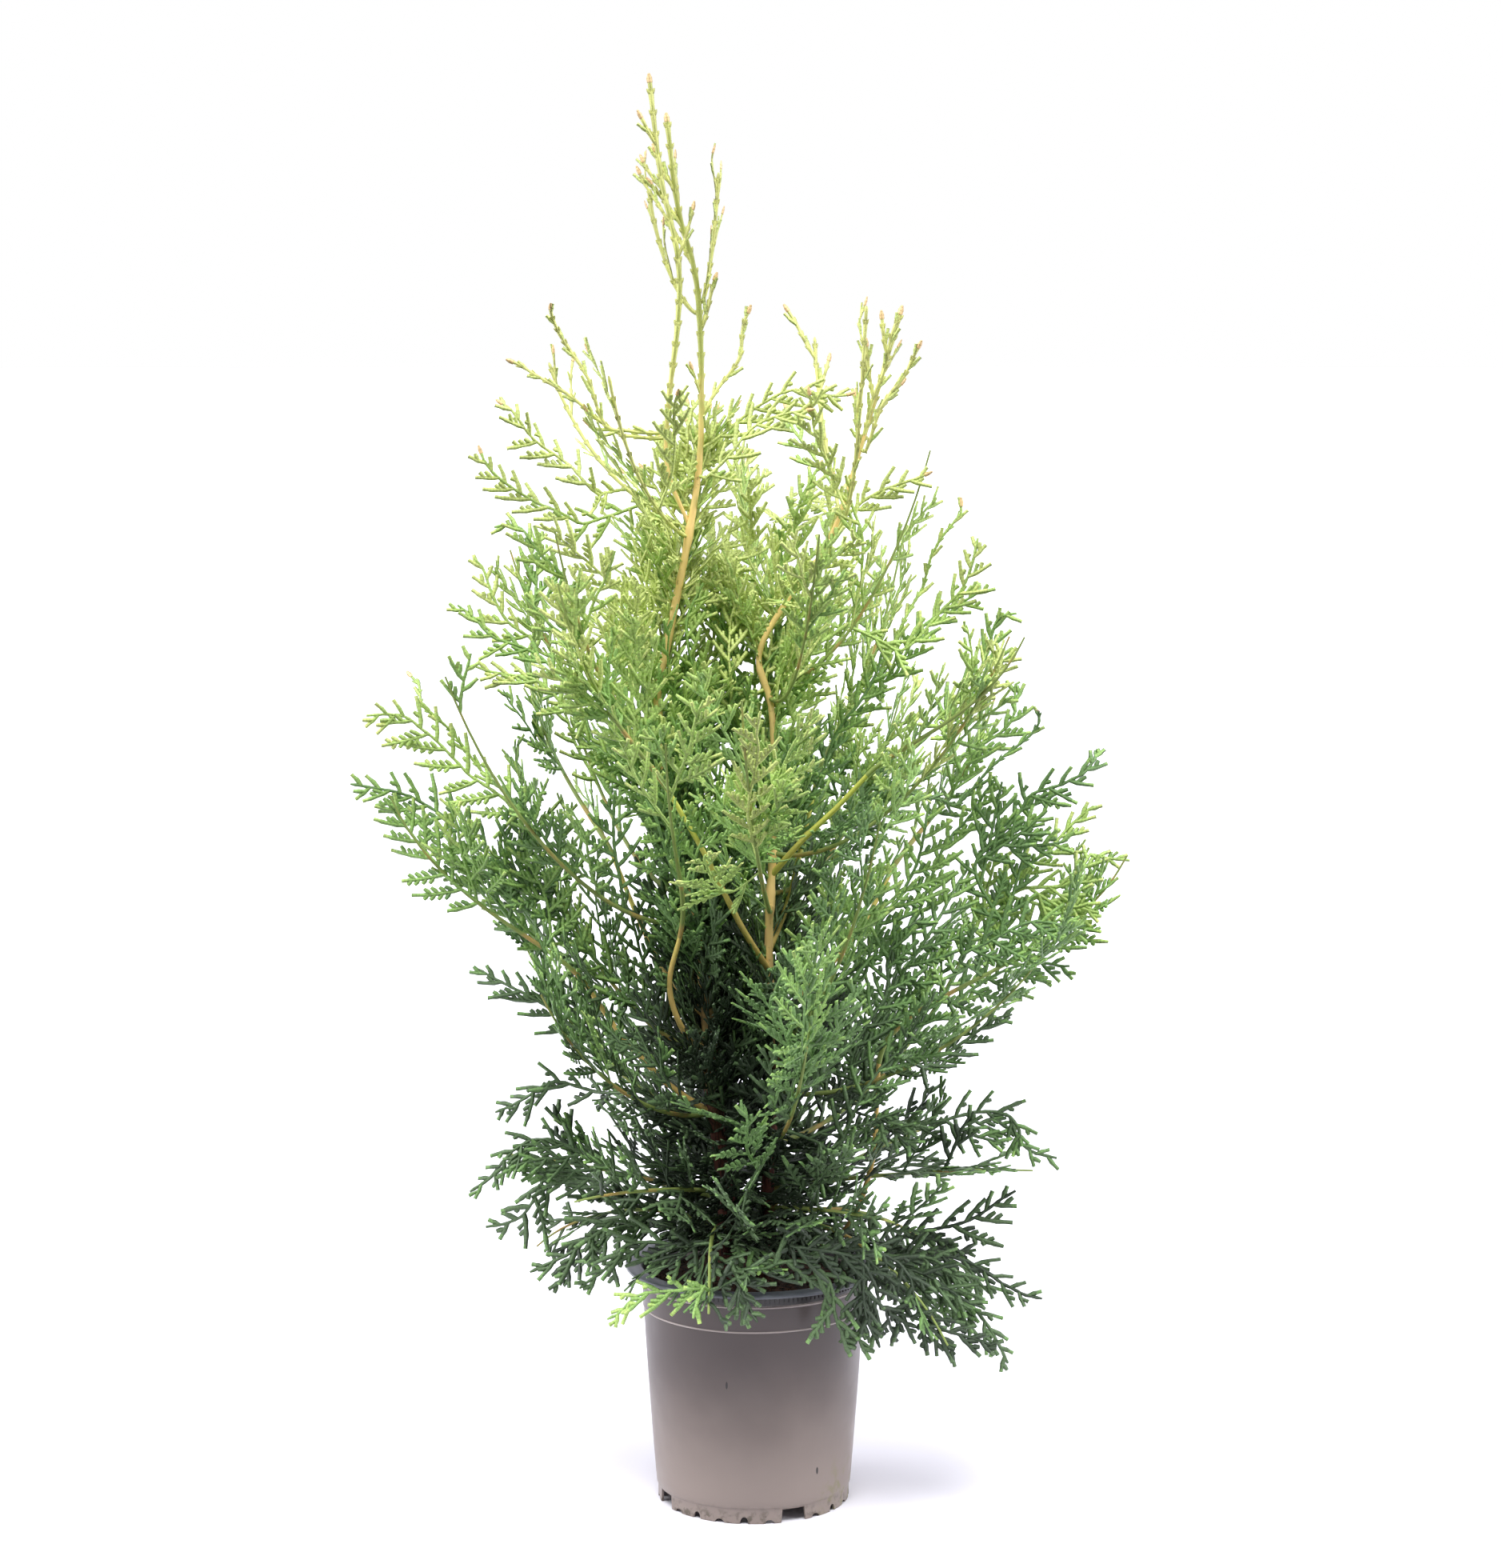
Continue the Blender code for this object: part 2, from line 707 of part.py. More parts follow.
def spray_mesh(name, spray, scale=1.0, swell=0.0, skip=0.0):
    """Return one toothed blade that is thickest along its midrib.

    A trial blade is swollen a little, and may skip the share of its length next to its root.
    """
    length = spray.length * scale
    teeth = 2 if length < SMALL_SPRAY else 3
    half_width = spray.width * scale + swell
    across = spray.normal.cross(spray.direction).normalized()

    def place(along, sideways, lift):
        along = skip + along * (1.0 - skip)
        droop = UP * (spray.bend * length * along * along)
        level = spray.direction * (along * length)
        return spray.root + level + across * sideways + spray.normal * lift + droop

    def rim(side):
        """Return one edge between root and tip: teeth and valleys by turns."""
        edge = []
        for tooth in range(teeth):
            along = (tooth + 1.0 - TOOTH_STAGGER * side) / (teeth + 0.55)
            reach = half_width * math.sin(math.pi * (0.26 + 0.58 * along)) ** 0.8
            edge.append(place(along, side * reach, 0.0))
            valley = (tooth + 1.22) / (teeth + 0.55)
            hollow = half_width * TOOTH_VALLEY * math.sin(math.pi * (0.30 + 0.55 * valley))
            edge.append(place(valley, side * hollow, 0.0))
        return edge[:-1]

    root = place(0.0, 0.0, 0.0)
    tip = place(1.0 + swell / length, 0.0, 0.0)
    left = rim(1.0)
    outline = [root, *left, tip, *reversed(rim(-1.0))]
    thick = SPRAY_THICKNESS / 2.0 + swell
    vertices = [*outline]
    for along, lift in ((MIDRIB_LOW, thick), (MIDRIB_HIGH, thick * MIDRIB_THINNING)):
        vertices += [place(along, 0.0, lift), place(along, 0.0, -lift)]
    around = len(outline)
    waist = len(left) // 2 + 1
    faces = []
    for under in (0, 1):
        low_rib = around + under
        high_rib = around + 2 + under
        for corner in range(around):
            upper = waist <= corner < around - waist
            faces.append((corner, (corner + 1) % around, high_rib if upper else low_rib))
        faces.append((waist, high_rib, low_rib))
        faces.append((around - waist, low_rib, high_rib))
    obj = object_from(name, vertices, faces)
    recalculate_normals(obj)
    return obj


def tree_of(obj):
    """Return the search tree of an object's triangles, in world space."""
    edit = bmesh.new()
    edit.from_mesh(obj.data)
    bmesh.ops.triangulate(edit, faces=edit.faces)
    tree = BVHTree.FromBMesh(edit)
    edit.free()
    return tree


def drop(obj):
    """Remove an object and its mesh."""
    mesh = obj.data
    bpy.data.objects.remove(obj, do_unlink=True)
    bpy.data.meshes.remove(mesh)


def touches(obj, trees):
    """Return whether an object cuts any of the search trees."""
    own = tree_of(obj)
    return any(own.overlap(tree) for tree in trees)


def union_of(base, parts):
    """Fuse a stem with its sprays by one Boolean and return the one closed body that is left."""
    group = bpy.data.collections.new(base.name + "_parts")
    bpy.context.scene.collection.children.link(group)
    for part in parts:
        bpy.context.scene.collection.objects.unlink(part)
        group.objects.link(part)
    for solver in ("EXACT", "MANIFOLD"):
        modifier = base.modifiers.new("union", "BOOLEAN")
        modifier.operation = "UNION"
        modifier.operand_type = "COLLECTION"
        modifier.collection = group
        modifier.solver = solver
        graph = bpy.context.evaluated_depsgraph_get()
        fused = bpy.data.meshes.new_from_object(base.evaluated_get(graph))
        base.modifiers.remove(modifier)
        if keep_largest_body(fused):
            break
    for part in parts:
        drop(part)
    bpy.data.collections.remove(group)
    old = base.data
    base.data = fused
    bpy.data.meshes.remove(old)
    return base


def keep_largest_body(mesh):
    """Delete every island but the largest, and return whether the rest is closed."""
    edit = bmesh.new()
    edit.from_mesh(mesh)
    bmesh.ops.remove_doubles(edit, verts=edit.verts, dist=2e-6)
    bmesh.ops.dissolve_limit(
        edit, angle_limit=math.radians(0.3), verts=edit.verts, edges=edit.edges
    )
    bmesh.ops.triangulate(edit, faces=edit.faces)
    bmesh.ops.dissolve_degenerate(edit, edges=edit.edges, dist=2e-6)
    bmesh.ops.triangulate(edit, faces=edit.faces)
    waiting = set(edit.faces)
    islands = []
    while waiting:
        front = [waiting.pop()]
        island = list(front)
        while front:
            face = front.pop()
            for edge in face.edges:
                for other in edge.link_faces:
                    if other in waiting:
                        waiting.remove(other)
                        front.append(other)
                        island.append(other)
        islands.append(island)
    islands.sort(key=len)
    for island in islands[:-1]:
        bmesh.ops.delete(edit, geom=island, context="FACES")
    loose = [v for v in edit.verts if not v.link_faces]
    bmesh.ops.delete(edit, geom=loose, context="VERTS")
    closed = all(len(edge.link_faces) == 2 for edge in edit.edges)
    bmesh.ops.recalc_face_normals(edit, faces=edit.faces)
    edit.to_mesh(mesh)
    edit.free()
    return closed


def foliage_finish(height):
    """Return the green of foliage whose tip stands at a height."""
    if height < FRESH_FROM:
        return DEEP_GREEN
    return FRESH_GREEN if height < LIME_FROM else LIME_GREEN


def seated_limb(name, points, radii, wood_tree):
    """Return a limb whose route starts just clear of the wood that it stands on."""
    points = [Vector(point) for point in points]
    heading = (points[1] - points[0]).normalized()
    foot, _, _, _ = wood_tree.find_nearest(points[0] + heading * SEARCH_REACH)
    gap = CLEARANCE
    while True:
        limb = Limb(name, Route((foot + heading * gap, *points[1:])), *radii)
        trial = tube_mesh("trial", limb.route, limb.radius, LIMB_SIDES, limb_shares(limb.route))
        blocked = touches(trial, [wood_tree])
        drop(trial)
        if not blocked:
            return limb
        gap += CLEARANCE / 2.0


def carried_mass(bough, tip, seed):
    """Return the foliage mass that carries a bough on from its end to a tip."""
    ending = bough.route.heading(1.0)
    start = bough.route.at(1.0) + ending * CLEARANCE
    shoot = Shoot(sweep_route(start, ending, Vector(tip), 0.0), SHOOT_RADIUS)
    finish = foliage_finish(tip[2])
    name = f"{bough.name}_mass"
    return Mass(name, shoot, BOUGH_SPRAYS, seed, finish, SPRAY_BEND, BOUGH_FIRST_SPRAY)


def plan_tiers(stems, stem_trees):
    """Return the masses that the tiers give, from the bottom of the crown up."""
    masses = []
    seed = SEED
    for tier in TIERS:
        for place in range(tier.count):
            seed += 1
            draw = random.Random(seed)
            drift = draw.uniform(-AZIMUTH_DRIFT, AZIMUTH_DRIFT)
            azimuth = tier.first_azimuth + 360.0 * place / tier.count + drift
            outward = toward(azimuth)
            base = tier.base + tier.spread * draw.random()
            height = base + tier.rise * draw.uniform(*RISE_SPREAD) + tier.lean * outward.x
            limb = outermost_limb(stems, base, outward)
            tree = stem_trees[limb.name]
            side, out = leave_side(limb, tree, base, outward)
            tip = side.lerp(crown_edge(height, azimuth), tier.share)
            tip.z = height
            tip -= outward * END_SPRAY_ROOM
            wood = limb.radius(limb.route.share_at_height(base))
            girth = min(SHOOT_RADIUS, wood * SHOOT_SHARE_OF_WOOD)
            shoot = seated_shoot(side, out, tip, tier.arch, girth, tree)
            bend = SPRAY_BEND if tier.rise > 0.0 else SKIRT_BEND
            name = f"{tier.name}_mass_{place + 1}"
            masses.append(Mass(name, shoot, tier.sprays, seed, foliage_finish(height), bend))
    return masses


def build_masses(masses, limb_trees):
    """Build each mass, dealing the crown's space out spray by spray so that none touch."""
    stems = {}
    trees = {}
    for mass in masses:
        stem = mass.shoot.mesh(mass.name)
        stems[mass.name] = stem
        trees[mass.name] = [tree_of(stem)]
    planned = {mass.name: plan_sprays(mass) for mass in masses}
    kept = {mass.name: [] for mass in masses}
    outer_trees = {mass.name: [] for mass in masses}
    rounds = max(len(sprays) for sprays in planned.values())
    for turn in range(rounds):
        for mass in masses:
            sprays = planned[mass.name]
            if turn >= len(sprays):
                continue
            spray = sprays[len(sprays) - 1 - turn]
            others = [tree for name, found in trees.items() if name != mass.name for tree in found]
            scale = fitting_scale(spray, others + limb_trees, outer_trees[mass.name])
            if not scale:
                continue
            blade = spray_mesh(f"{mass.name}_spray_{turn}", spray, scale)
            kept[mass.name].append(blade)
            trees[mass.name].append(tree_of(blade))
            outer = spray_mesh("outer", spray, scale, 0.0, ROOT_SKIP)
            outer_trees[mass.name].append(tree_of(outer))
            drop(outer)
    for mass in masses:
        fused = union_of(stems[mass.name], kept[mass.name])
        finish_object(fused, mass.finish, 30.0)


def fitting_scale(spray, other_trees, own_trees):
    """Return the largest trial scale at which a spray is clear of its neighbours, or None.

    A spray may meet the others of its own mass only next to its root, where they are fused.
    """
    for scale in SHRINK_STEPS:
        if not in_crown(spray.root + spray.direction * spray.length * scale):
            continue
        whole = spray_mesh("trial", spray, scale, TEST_SWELL)
        outer = spray_mesh("trial_outer", spray, scale, TEST_SWELL, ROOT_SKIP)
        blocked = touches(whole, other_trees) or touches(outer, own_trees)
        drop(whole)
        drop(outer)
        if not blocked:
            return scale
    return None


def build_plant():
    """Build the pot, the soil, the stems, the boughs and the foliage."""
    pot = build_pot()
    soil = build_soil()
    trunk = Limb("trunk", Route(TRUNK_ROUTE), *TRUNK_RADII, ROOT_FLARE)
    right_stem = Limb("right_stem", Route(RIGHT_STEM_ROUTE), *RIGHT_STEM_RADII, ROOT_FLARE)
    trunk_solid = build_limb(trunk, STEM_SIDES, STEM_STEP, BARK)
    right_solid = build_limb(right_stem, STEM_SIDES, STEM_STEP, TAN_BARK)
    stem_trees = {"trunk": tree_of(trunk_solid), "right_stem": tree_of(right_solid)}
    leader = seated_limb("left_leader", LEFT_LEADER_ROUTE, LEFT_LEADER_RADII, stem_trees["trunk"])
    leader_solid = build_limb(leader, LIMB_SIDES, LIMB_STEP, TAN_BARK)
    solids = [pot, soil, trunk_solid, right_solid, leader_solid]
    masses = plan_tiers((trunk, right_stem), stem_trees)
    for place, plan in enumerate(BOUGHS):
        bough = seated_limb(plan.name, plan.route, BOUGH_RADII, stem_trees[plan.parent])
        solids.append(build_limb(bough, LIMB_SIDES, LIMB_STEP, TAN_BARK))
        masses.append(carried_mass(bough, plan.tip, BOUGH_SEED + place))
    build_masses(masses, [tree_of(solid) for solid in solids])


clear_scene()
build_plant()
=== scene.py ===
"""Dressed scene of a potted brabant arborvitae: a young conifer in a taupe nursery pot.

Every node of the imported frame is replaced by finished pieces: the moulded pot with its flange, beads
and notched foot, potting mix with crumbs, barked stems and boughs, green twigs, and sprays of scale
foliage that grow on from the limbs by the rule that shaped the foliage masses.

Sizes are in metres and angles in degrees unless a name says otherwise. The front of the plant faces
-Y. An azimuth of 0 points to the front, 90 to the right, 180 to the back and 270 to the left.
"""

import bisect
import logging
import math
import random
from collections.abc import Iterable, Sequence
from dataclasses import dataclass, field, replace
from enum import Enum
from functools import cached_property

import bmesh
import bpy
from bpy.types import Material, NodeOutputs, NodeSocket, NodeTree, Object
from mathutils import Matrix, Vector, noise


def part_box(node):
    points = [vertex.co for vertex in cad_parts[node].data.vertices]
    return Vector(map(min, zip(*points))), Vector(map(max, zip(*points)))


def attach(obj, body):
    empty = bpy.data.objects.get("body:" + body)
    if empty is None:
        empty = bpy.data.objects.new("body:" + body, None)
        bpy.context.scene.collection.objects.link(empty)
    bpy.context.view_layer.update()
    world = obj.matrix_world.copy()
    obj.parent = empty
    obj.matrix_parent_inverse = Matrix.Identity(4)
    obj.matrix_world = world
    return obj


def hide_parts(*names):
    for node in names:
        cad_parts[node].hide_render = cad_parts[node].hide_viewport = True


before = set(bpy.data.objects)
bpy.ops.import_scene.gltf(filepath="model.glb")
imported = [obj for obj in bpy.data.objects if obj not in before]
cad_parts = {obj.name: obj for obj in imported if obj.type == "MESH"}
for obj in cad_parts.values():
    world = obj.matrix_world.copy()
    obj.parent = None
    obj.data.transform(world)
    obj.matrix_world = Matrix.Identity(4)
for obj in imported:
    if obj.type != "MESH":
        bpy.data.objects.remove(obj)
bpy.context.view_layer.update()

LOG = logging.getLogger("potted_arborvitae")
BODY = "root"
UP = Vector((0.0, 0.0, 1.0))
FRONT = Vector((0.0, -1.0, 0.0))
MILLIMETRE = 0.001
VIEWPOINT = Vector((-0.0015, -2.557, 0.872))

# Node kinds and settings that the trees share
MATH = "ShaderNodeMath"
VECTOR_MATH = "ShaderNodeVectorMath"
MAP_RANGE = "ShaderNodeMapRange"
NOISE = "ShaderNodeTexNoise"
AXES = "ShaderNodeSeparateXYZ"
VECTOR = "ShaderNodeCombineXYZ"
ATTRIBUTE = "GeometryNodeInputNamedAttribute"
RANDOM = "FunctionNodeRandomValue"
ADD = {"operation": "ADD"}
SUBTRACT = {"operation": "SUBTRACT"}
MULTIPLY = {"operation": "MULTIPLY"}
MULTIPLY_ADD = {"operation": "MULTIPLY_ADD"}
DIVIDE = {"operation": "DIVIDE"}
SCALE = {"operation": "SCALE"}
SMOOTH = {"interpolation_type": "SMOOTHSTEP"}


# Small helpers


def linear(hex_colour: str) -> tuple[float, float, float, float]:
    """Turn an sRGB hex colour into linear red, green, blue and alpha.

    Args:
        hex_colour: Six hex digits after a hash sign.

    Returns:
        The linear colour with an alpha of one.
    """
    channels = []
    for start in (1, 3, 5):
        value = int(hex_colour[start : start + 2], 16) / 255.0
        channels.append(value / 12.92 if value <= 0.04045 else ((value + 0.055) / 1.055) ** 2.4)
    return (*channels, 1.0)


def blend(a: float, b: float, share: float) -> float:
    """Return the value that lies a share of the way from a to b."""
    return a + (b - a) * share


def toward(azimuth: float) -> Vector:
    """Return the level unit direction of an azimuth."""
    turn = math.radians(azimuth)
    return Vector((math.sin(turn), -math.cos(turn), 0.0))


def between(a: Vector, b: Vector, radians: float) -> Vector:
    """Return the direction that is turned by an angle from one direction to one square to it."""
    return a * math.cos(radians) + b * math.sin(radians)


def turned(direction: Vector, axis: Vector, radians: float) -> Vector:
    """Return a direction turned about an axis."""
    return Matrix.Rotation(radians, 3, axis) @ direction


def read_profile(place: float, places: Sequence[float], values: Sequence[float]) -> float:
    """Read a stepped profile in straight lines between its steps.

    Args:
        place: Where to read it; beyond the ends the end values hold.
        places: The rising places of the steps.
        values: The value at each step.

    Returns:
        The value at the place.
    """
    place = min(max(place, places[0]), places[-1])
    for low, high, a, b in zip(places, places[1:], values, values[1:]):
        if place <= high:
            return blend(a, b, (place - low) / (high - low))
    return values[-1]


def add_node(
    tree: NodeTree, kind: str, settings: dict | None = None, inputs: dict | None = None
) -> NodeOutputs:
    """Add a node with its settings, its fixed inputs and the links into it.

    Args:
        tree: The shader or geometry tree.
        kind: The node's type name.
        settings: Properties of the node.
        inputs: By the input's name or number, its fixed value or the socket that it is linked to.

    Returns:
        The node's outputs.
    """
    node = tree.nodes.new(kind)
    for name, setting in (settings or {}).items():
        setattr(node, name, setting)
    for name, given in (inputs or {}).items():
        if isinstance(given, NodeSocket):
            tree.links.new(given, node.inputs[name])
        else:
            node.inputs[name].default_value = given
    return node.outputs


def ramped(tree: NodeTree, *ramps: tuple, least: float = 0.0, most: float = 1.0) -> NodeSocket:
    """Return a value that goes smoothly from least to most where all its ramps rise.

    Args:
        tree: The shader tree.
        ramps: For each, the socket of a value, and the values where the ramp starts and is full.
        least: The value before the ramp, 0 where there are several.
        most: The value where every ramp is full.

    Returns:
        The socket of the value.
    """
    ends = {"To Min": least, "To Max": most}
    found = None
    for value, start, full in ramps:
        given = {"Value": value, "From Min": start, "From Max": full, **ends}
        rise = add_node(tree, MAP_RANGE, SMOOTH, given)["Result"]
        found = add_node(tree, MATH, MULTIPLY, {0: found, 1: rise})["Value"] if found else rise
        ends = {}
    return found


def laid_over(
    tree: NodeTree,
    under: NodeSocket | str,
    over: NodeSocket | str,
    *ramps: tuple,
    most: float = 1.0,
) -> NodeSocket:
    """Return a colour with another laid over it where all the ramps rise.

    Args:
        tree: The shader tree.
        under: The colour underneath, as a socket or hex value.
        over: The colour on top, as a socket or hex value.
        ramps: The ramps, as for ramped.
        most: How far the one on top covers the other.

    Returns:
        The socket of the colour.
    """
    both = [linear(colour) if isinstance(colour, str) else colour for colour in (under, over)]
    given = {"Factor": ramped(tree, *ramps, most=most), 6: both[0], 7: both[1]}
    return add_node(tree, "ShaderNodeMix", {"data_type": "RGBA"}, given)[2]


def mesh_object(name: str, vertices: Iterable, edges: Iterable = (), faces: Iterable = ()) -> Object:
    """Make a linked object with a mesh.

    Args:
        name: The name of both.
        vertices: The places of the vertices.
        edges: Pairs of vertex numbers.
        faces: The vertex numbers of each face.

    Returns:
        The object.
    """
    mesh = bpy.data.meshes.new(name)
    mesh.from_pydata([tuple(v) for v in vertices], list(edges), list(faces))
    obj = bpy.data.objects.new(name, mesh)
    bpy.context.scene.collection.objects.link(obj)
    return obj


def face_outwards(obj: Object) -> None:
    """Merge an object's doubled vertices, and turn its faces outwards and shade them smooth.

    Args:
        obj: The object.
    """
    edit = bmesh.new()
    edit.from_mesh(obj.data)
    bmesh.ops.remove_doubles(edit, verts=edit.verts, dist=0.02 * MILLIMETRE)
    bmesh.ops.recalc_face_normals(edit, faces=edit.faces)
    edit.to_mesh(obj.data)
    edit.free()
    obj.data.shade_smooth()


def geometry_tree(name: str, inputs: dict[str, str]) -> tuple[NodeTree, NodeOutputs]:
    """Make a geometry tree that takes a geometry, a material and the named inputs.

    Args:
        name: The tree's name.
        inputs: The kind of socket by input name.

    Returns:
        The tree and the sockets of its inputs.
    """
    tree = bpy.data.node_groups.new(name, "GeometryNodeTree")
    for label, kind in {"Geometry": "Geometry", **inputs, "Material": "Material"}.items():
        tree.interface.new_socket(name=label, in_out="INPUT", socket_type=f"NodeSocket{kind}")
    tree.interface.new_socket(name="Geometry", in_out="OUTPUT", socket_type="NodeSocketGeometry")
    return tree, add_node(tree, "NodeGroupInput")


def close_tree(tree: NodeTree, given: NodeOutputs, geometry: NodeSocket, smooth: bool) -> NodeTree:
    """End a geometry tree in Realize Instances and Set Material.

    Args:
        tree: The tree.
        given: The sockets of its inputs.
        geometry: What it made.
        smooth: Whether its faces are shaded smooth.

    Returns:
        The tree.
    """
    if smooth:
        geometry = add_node(tree, "GeometryNodeSetShadeSmooth", {}, {"Geometry": geometry})[0]
    real = add_node(tree, "GeometryNodeRealizeInstances", {}, {"Geometry": geometry})[0]
    parts = {"Geometry": real, "Material": given["Material"]}
    dressed = add_node(tree, "GeometryNodeSetMaterial", {}, parts)[0]
    add_node(tree, "NodeGroupOutput", {}, {"Geometry": dressed})
    return tree


def shape_by(obj: Object, tree: NodeTree, inputs: dict) -> Object:
    """Replace an object's mesh by what a geometry tree makes of it.

    Args:
        obj: The object that holds the tree's starting mesh.
        tree: The geometry tree.
        inputs: Input values by socket name.

    Returns:
        The same object with a plain mesh and no modifier.
    """
    modifier = obj.modifiers.new("shape", "NODES")
    modifier.node_group = tree
    for item in tree.interface.items_tree:
        if item.in_out == "INPUT" and item.name in inputs:
            modifier[item.identifier] = inputs[item.name]
    graph = bpy.context.evaluated_depsgraph_get()
    made = bpy.data.meshes.new_from_object(
        obj.evaluated_get(graph), preserve_all_data_layers=True, depsgraph=graph
    )
    obj.modifiers.remove(modifier)
    old = obj.data
    obj.data = made
    made.name = obj.name
    bpy.data.meshes.remove(old)
    return obj


def settle(obj: Object, slot: str, nodes: Iterable[str] = ()) -> None:
    """Give a finished piece its body, hide the nodes of the frame that it replaces, and log it with its
    slot.

    Args:
        obj: The piece.
        slot: The slot of its material.
        nodes: The nodes of the frame that it replaces.
    """
    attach(obj, BODY)
    if nodes:
        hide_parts(*nodes)
    triangles = sum(len(face.vertices) - 2 for face in obj.data.polygons)
    LOG.info("%s: %d triangles, slot %s", obj.name, triangles, slot)


# Finishes


@dataclass(frozen=True)
class Cloud:
    """A noise: the size of its blots in millimetres, their detail, and a share to draw them out."""

    size: float
    detail: float
    upright: float = 1.0


@dataclass(frozen=True)
class Finish:
    """A surface in the terms that its shader needs; relief is the depth of its grain."""

    name: str
    colour: str
    roughness: float
    ior: float = 1.5
    specular: float = 0.5
    relief: float = 0.0
    clouds: tuple = ()

    def material(self) -> Material:
        """Make the material on its first use.

        Returns:
            The material.
        """
        found = bpy.data.materials.get(self.name)
        if found:
            return found
        material = bpy.data.materials.new(self.name)
        material.use_nodes = True
        tree = material.node_tree
        inputs = tree.nodes["Principled BSDF"].inputs
        inputs["Base Color"].default_value = linear(self.colour)
        inputs["Roughness"].default_value = self.roughness
        inputs["IOR"].default_value = self.ior
        inputs["Specular IOR Level"].default_value = self.specular
        place = add_node(tree, "ShaderNodeTexCoord")["Object"]
        clouds = []
        for cloud in self.clouds:
            drawn = {"Vector": place, "Scale": (1.0, 1.0, cloud.upright)}
            where = add_node(tree, "ShaderNodeMapping", {}, drawn)["Vector"]
            given = {"Vector": where, "Scale": 1.0 / (cloud.size * MILLIMETRE), "Detail": cloud.detail}
            clouds.append(add_node(tree, NOISE, {}, given)["Fac"])
        details = self.details(tree, place, clouds)
        if "Height" in details:
            given = {"Strength": 1.0, "Distance": self.relief, "Height": details.pop("Height")}
            details["Normal"] = add_node(tree, "ShaderNodeBump", {}, given)["Normal"]
        for name, socket in details.items():
            tree.links.new(socket, inputs[name])
        return material

    def details(self, tree: NodeTree, place: NodeSocket, clouds: list[NodeSocket]) -> dict:
        """Return the socket of each shader input that varies, here none, and of the relief's Height."""
        return {}


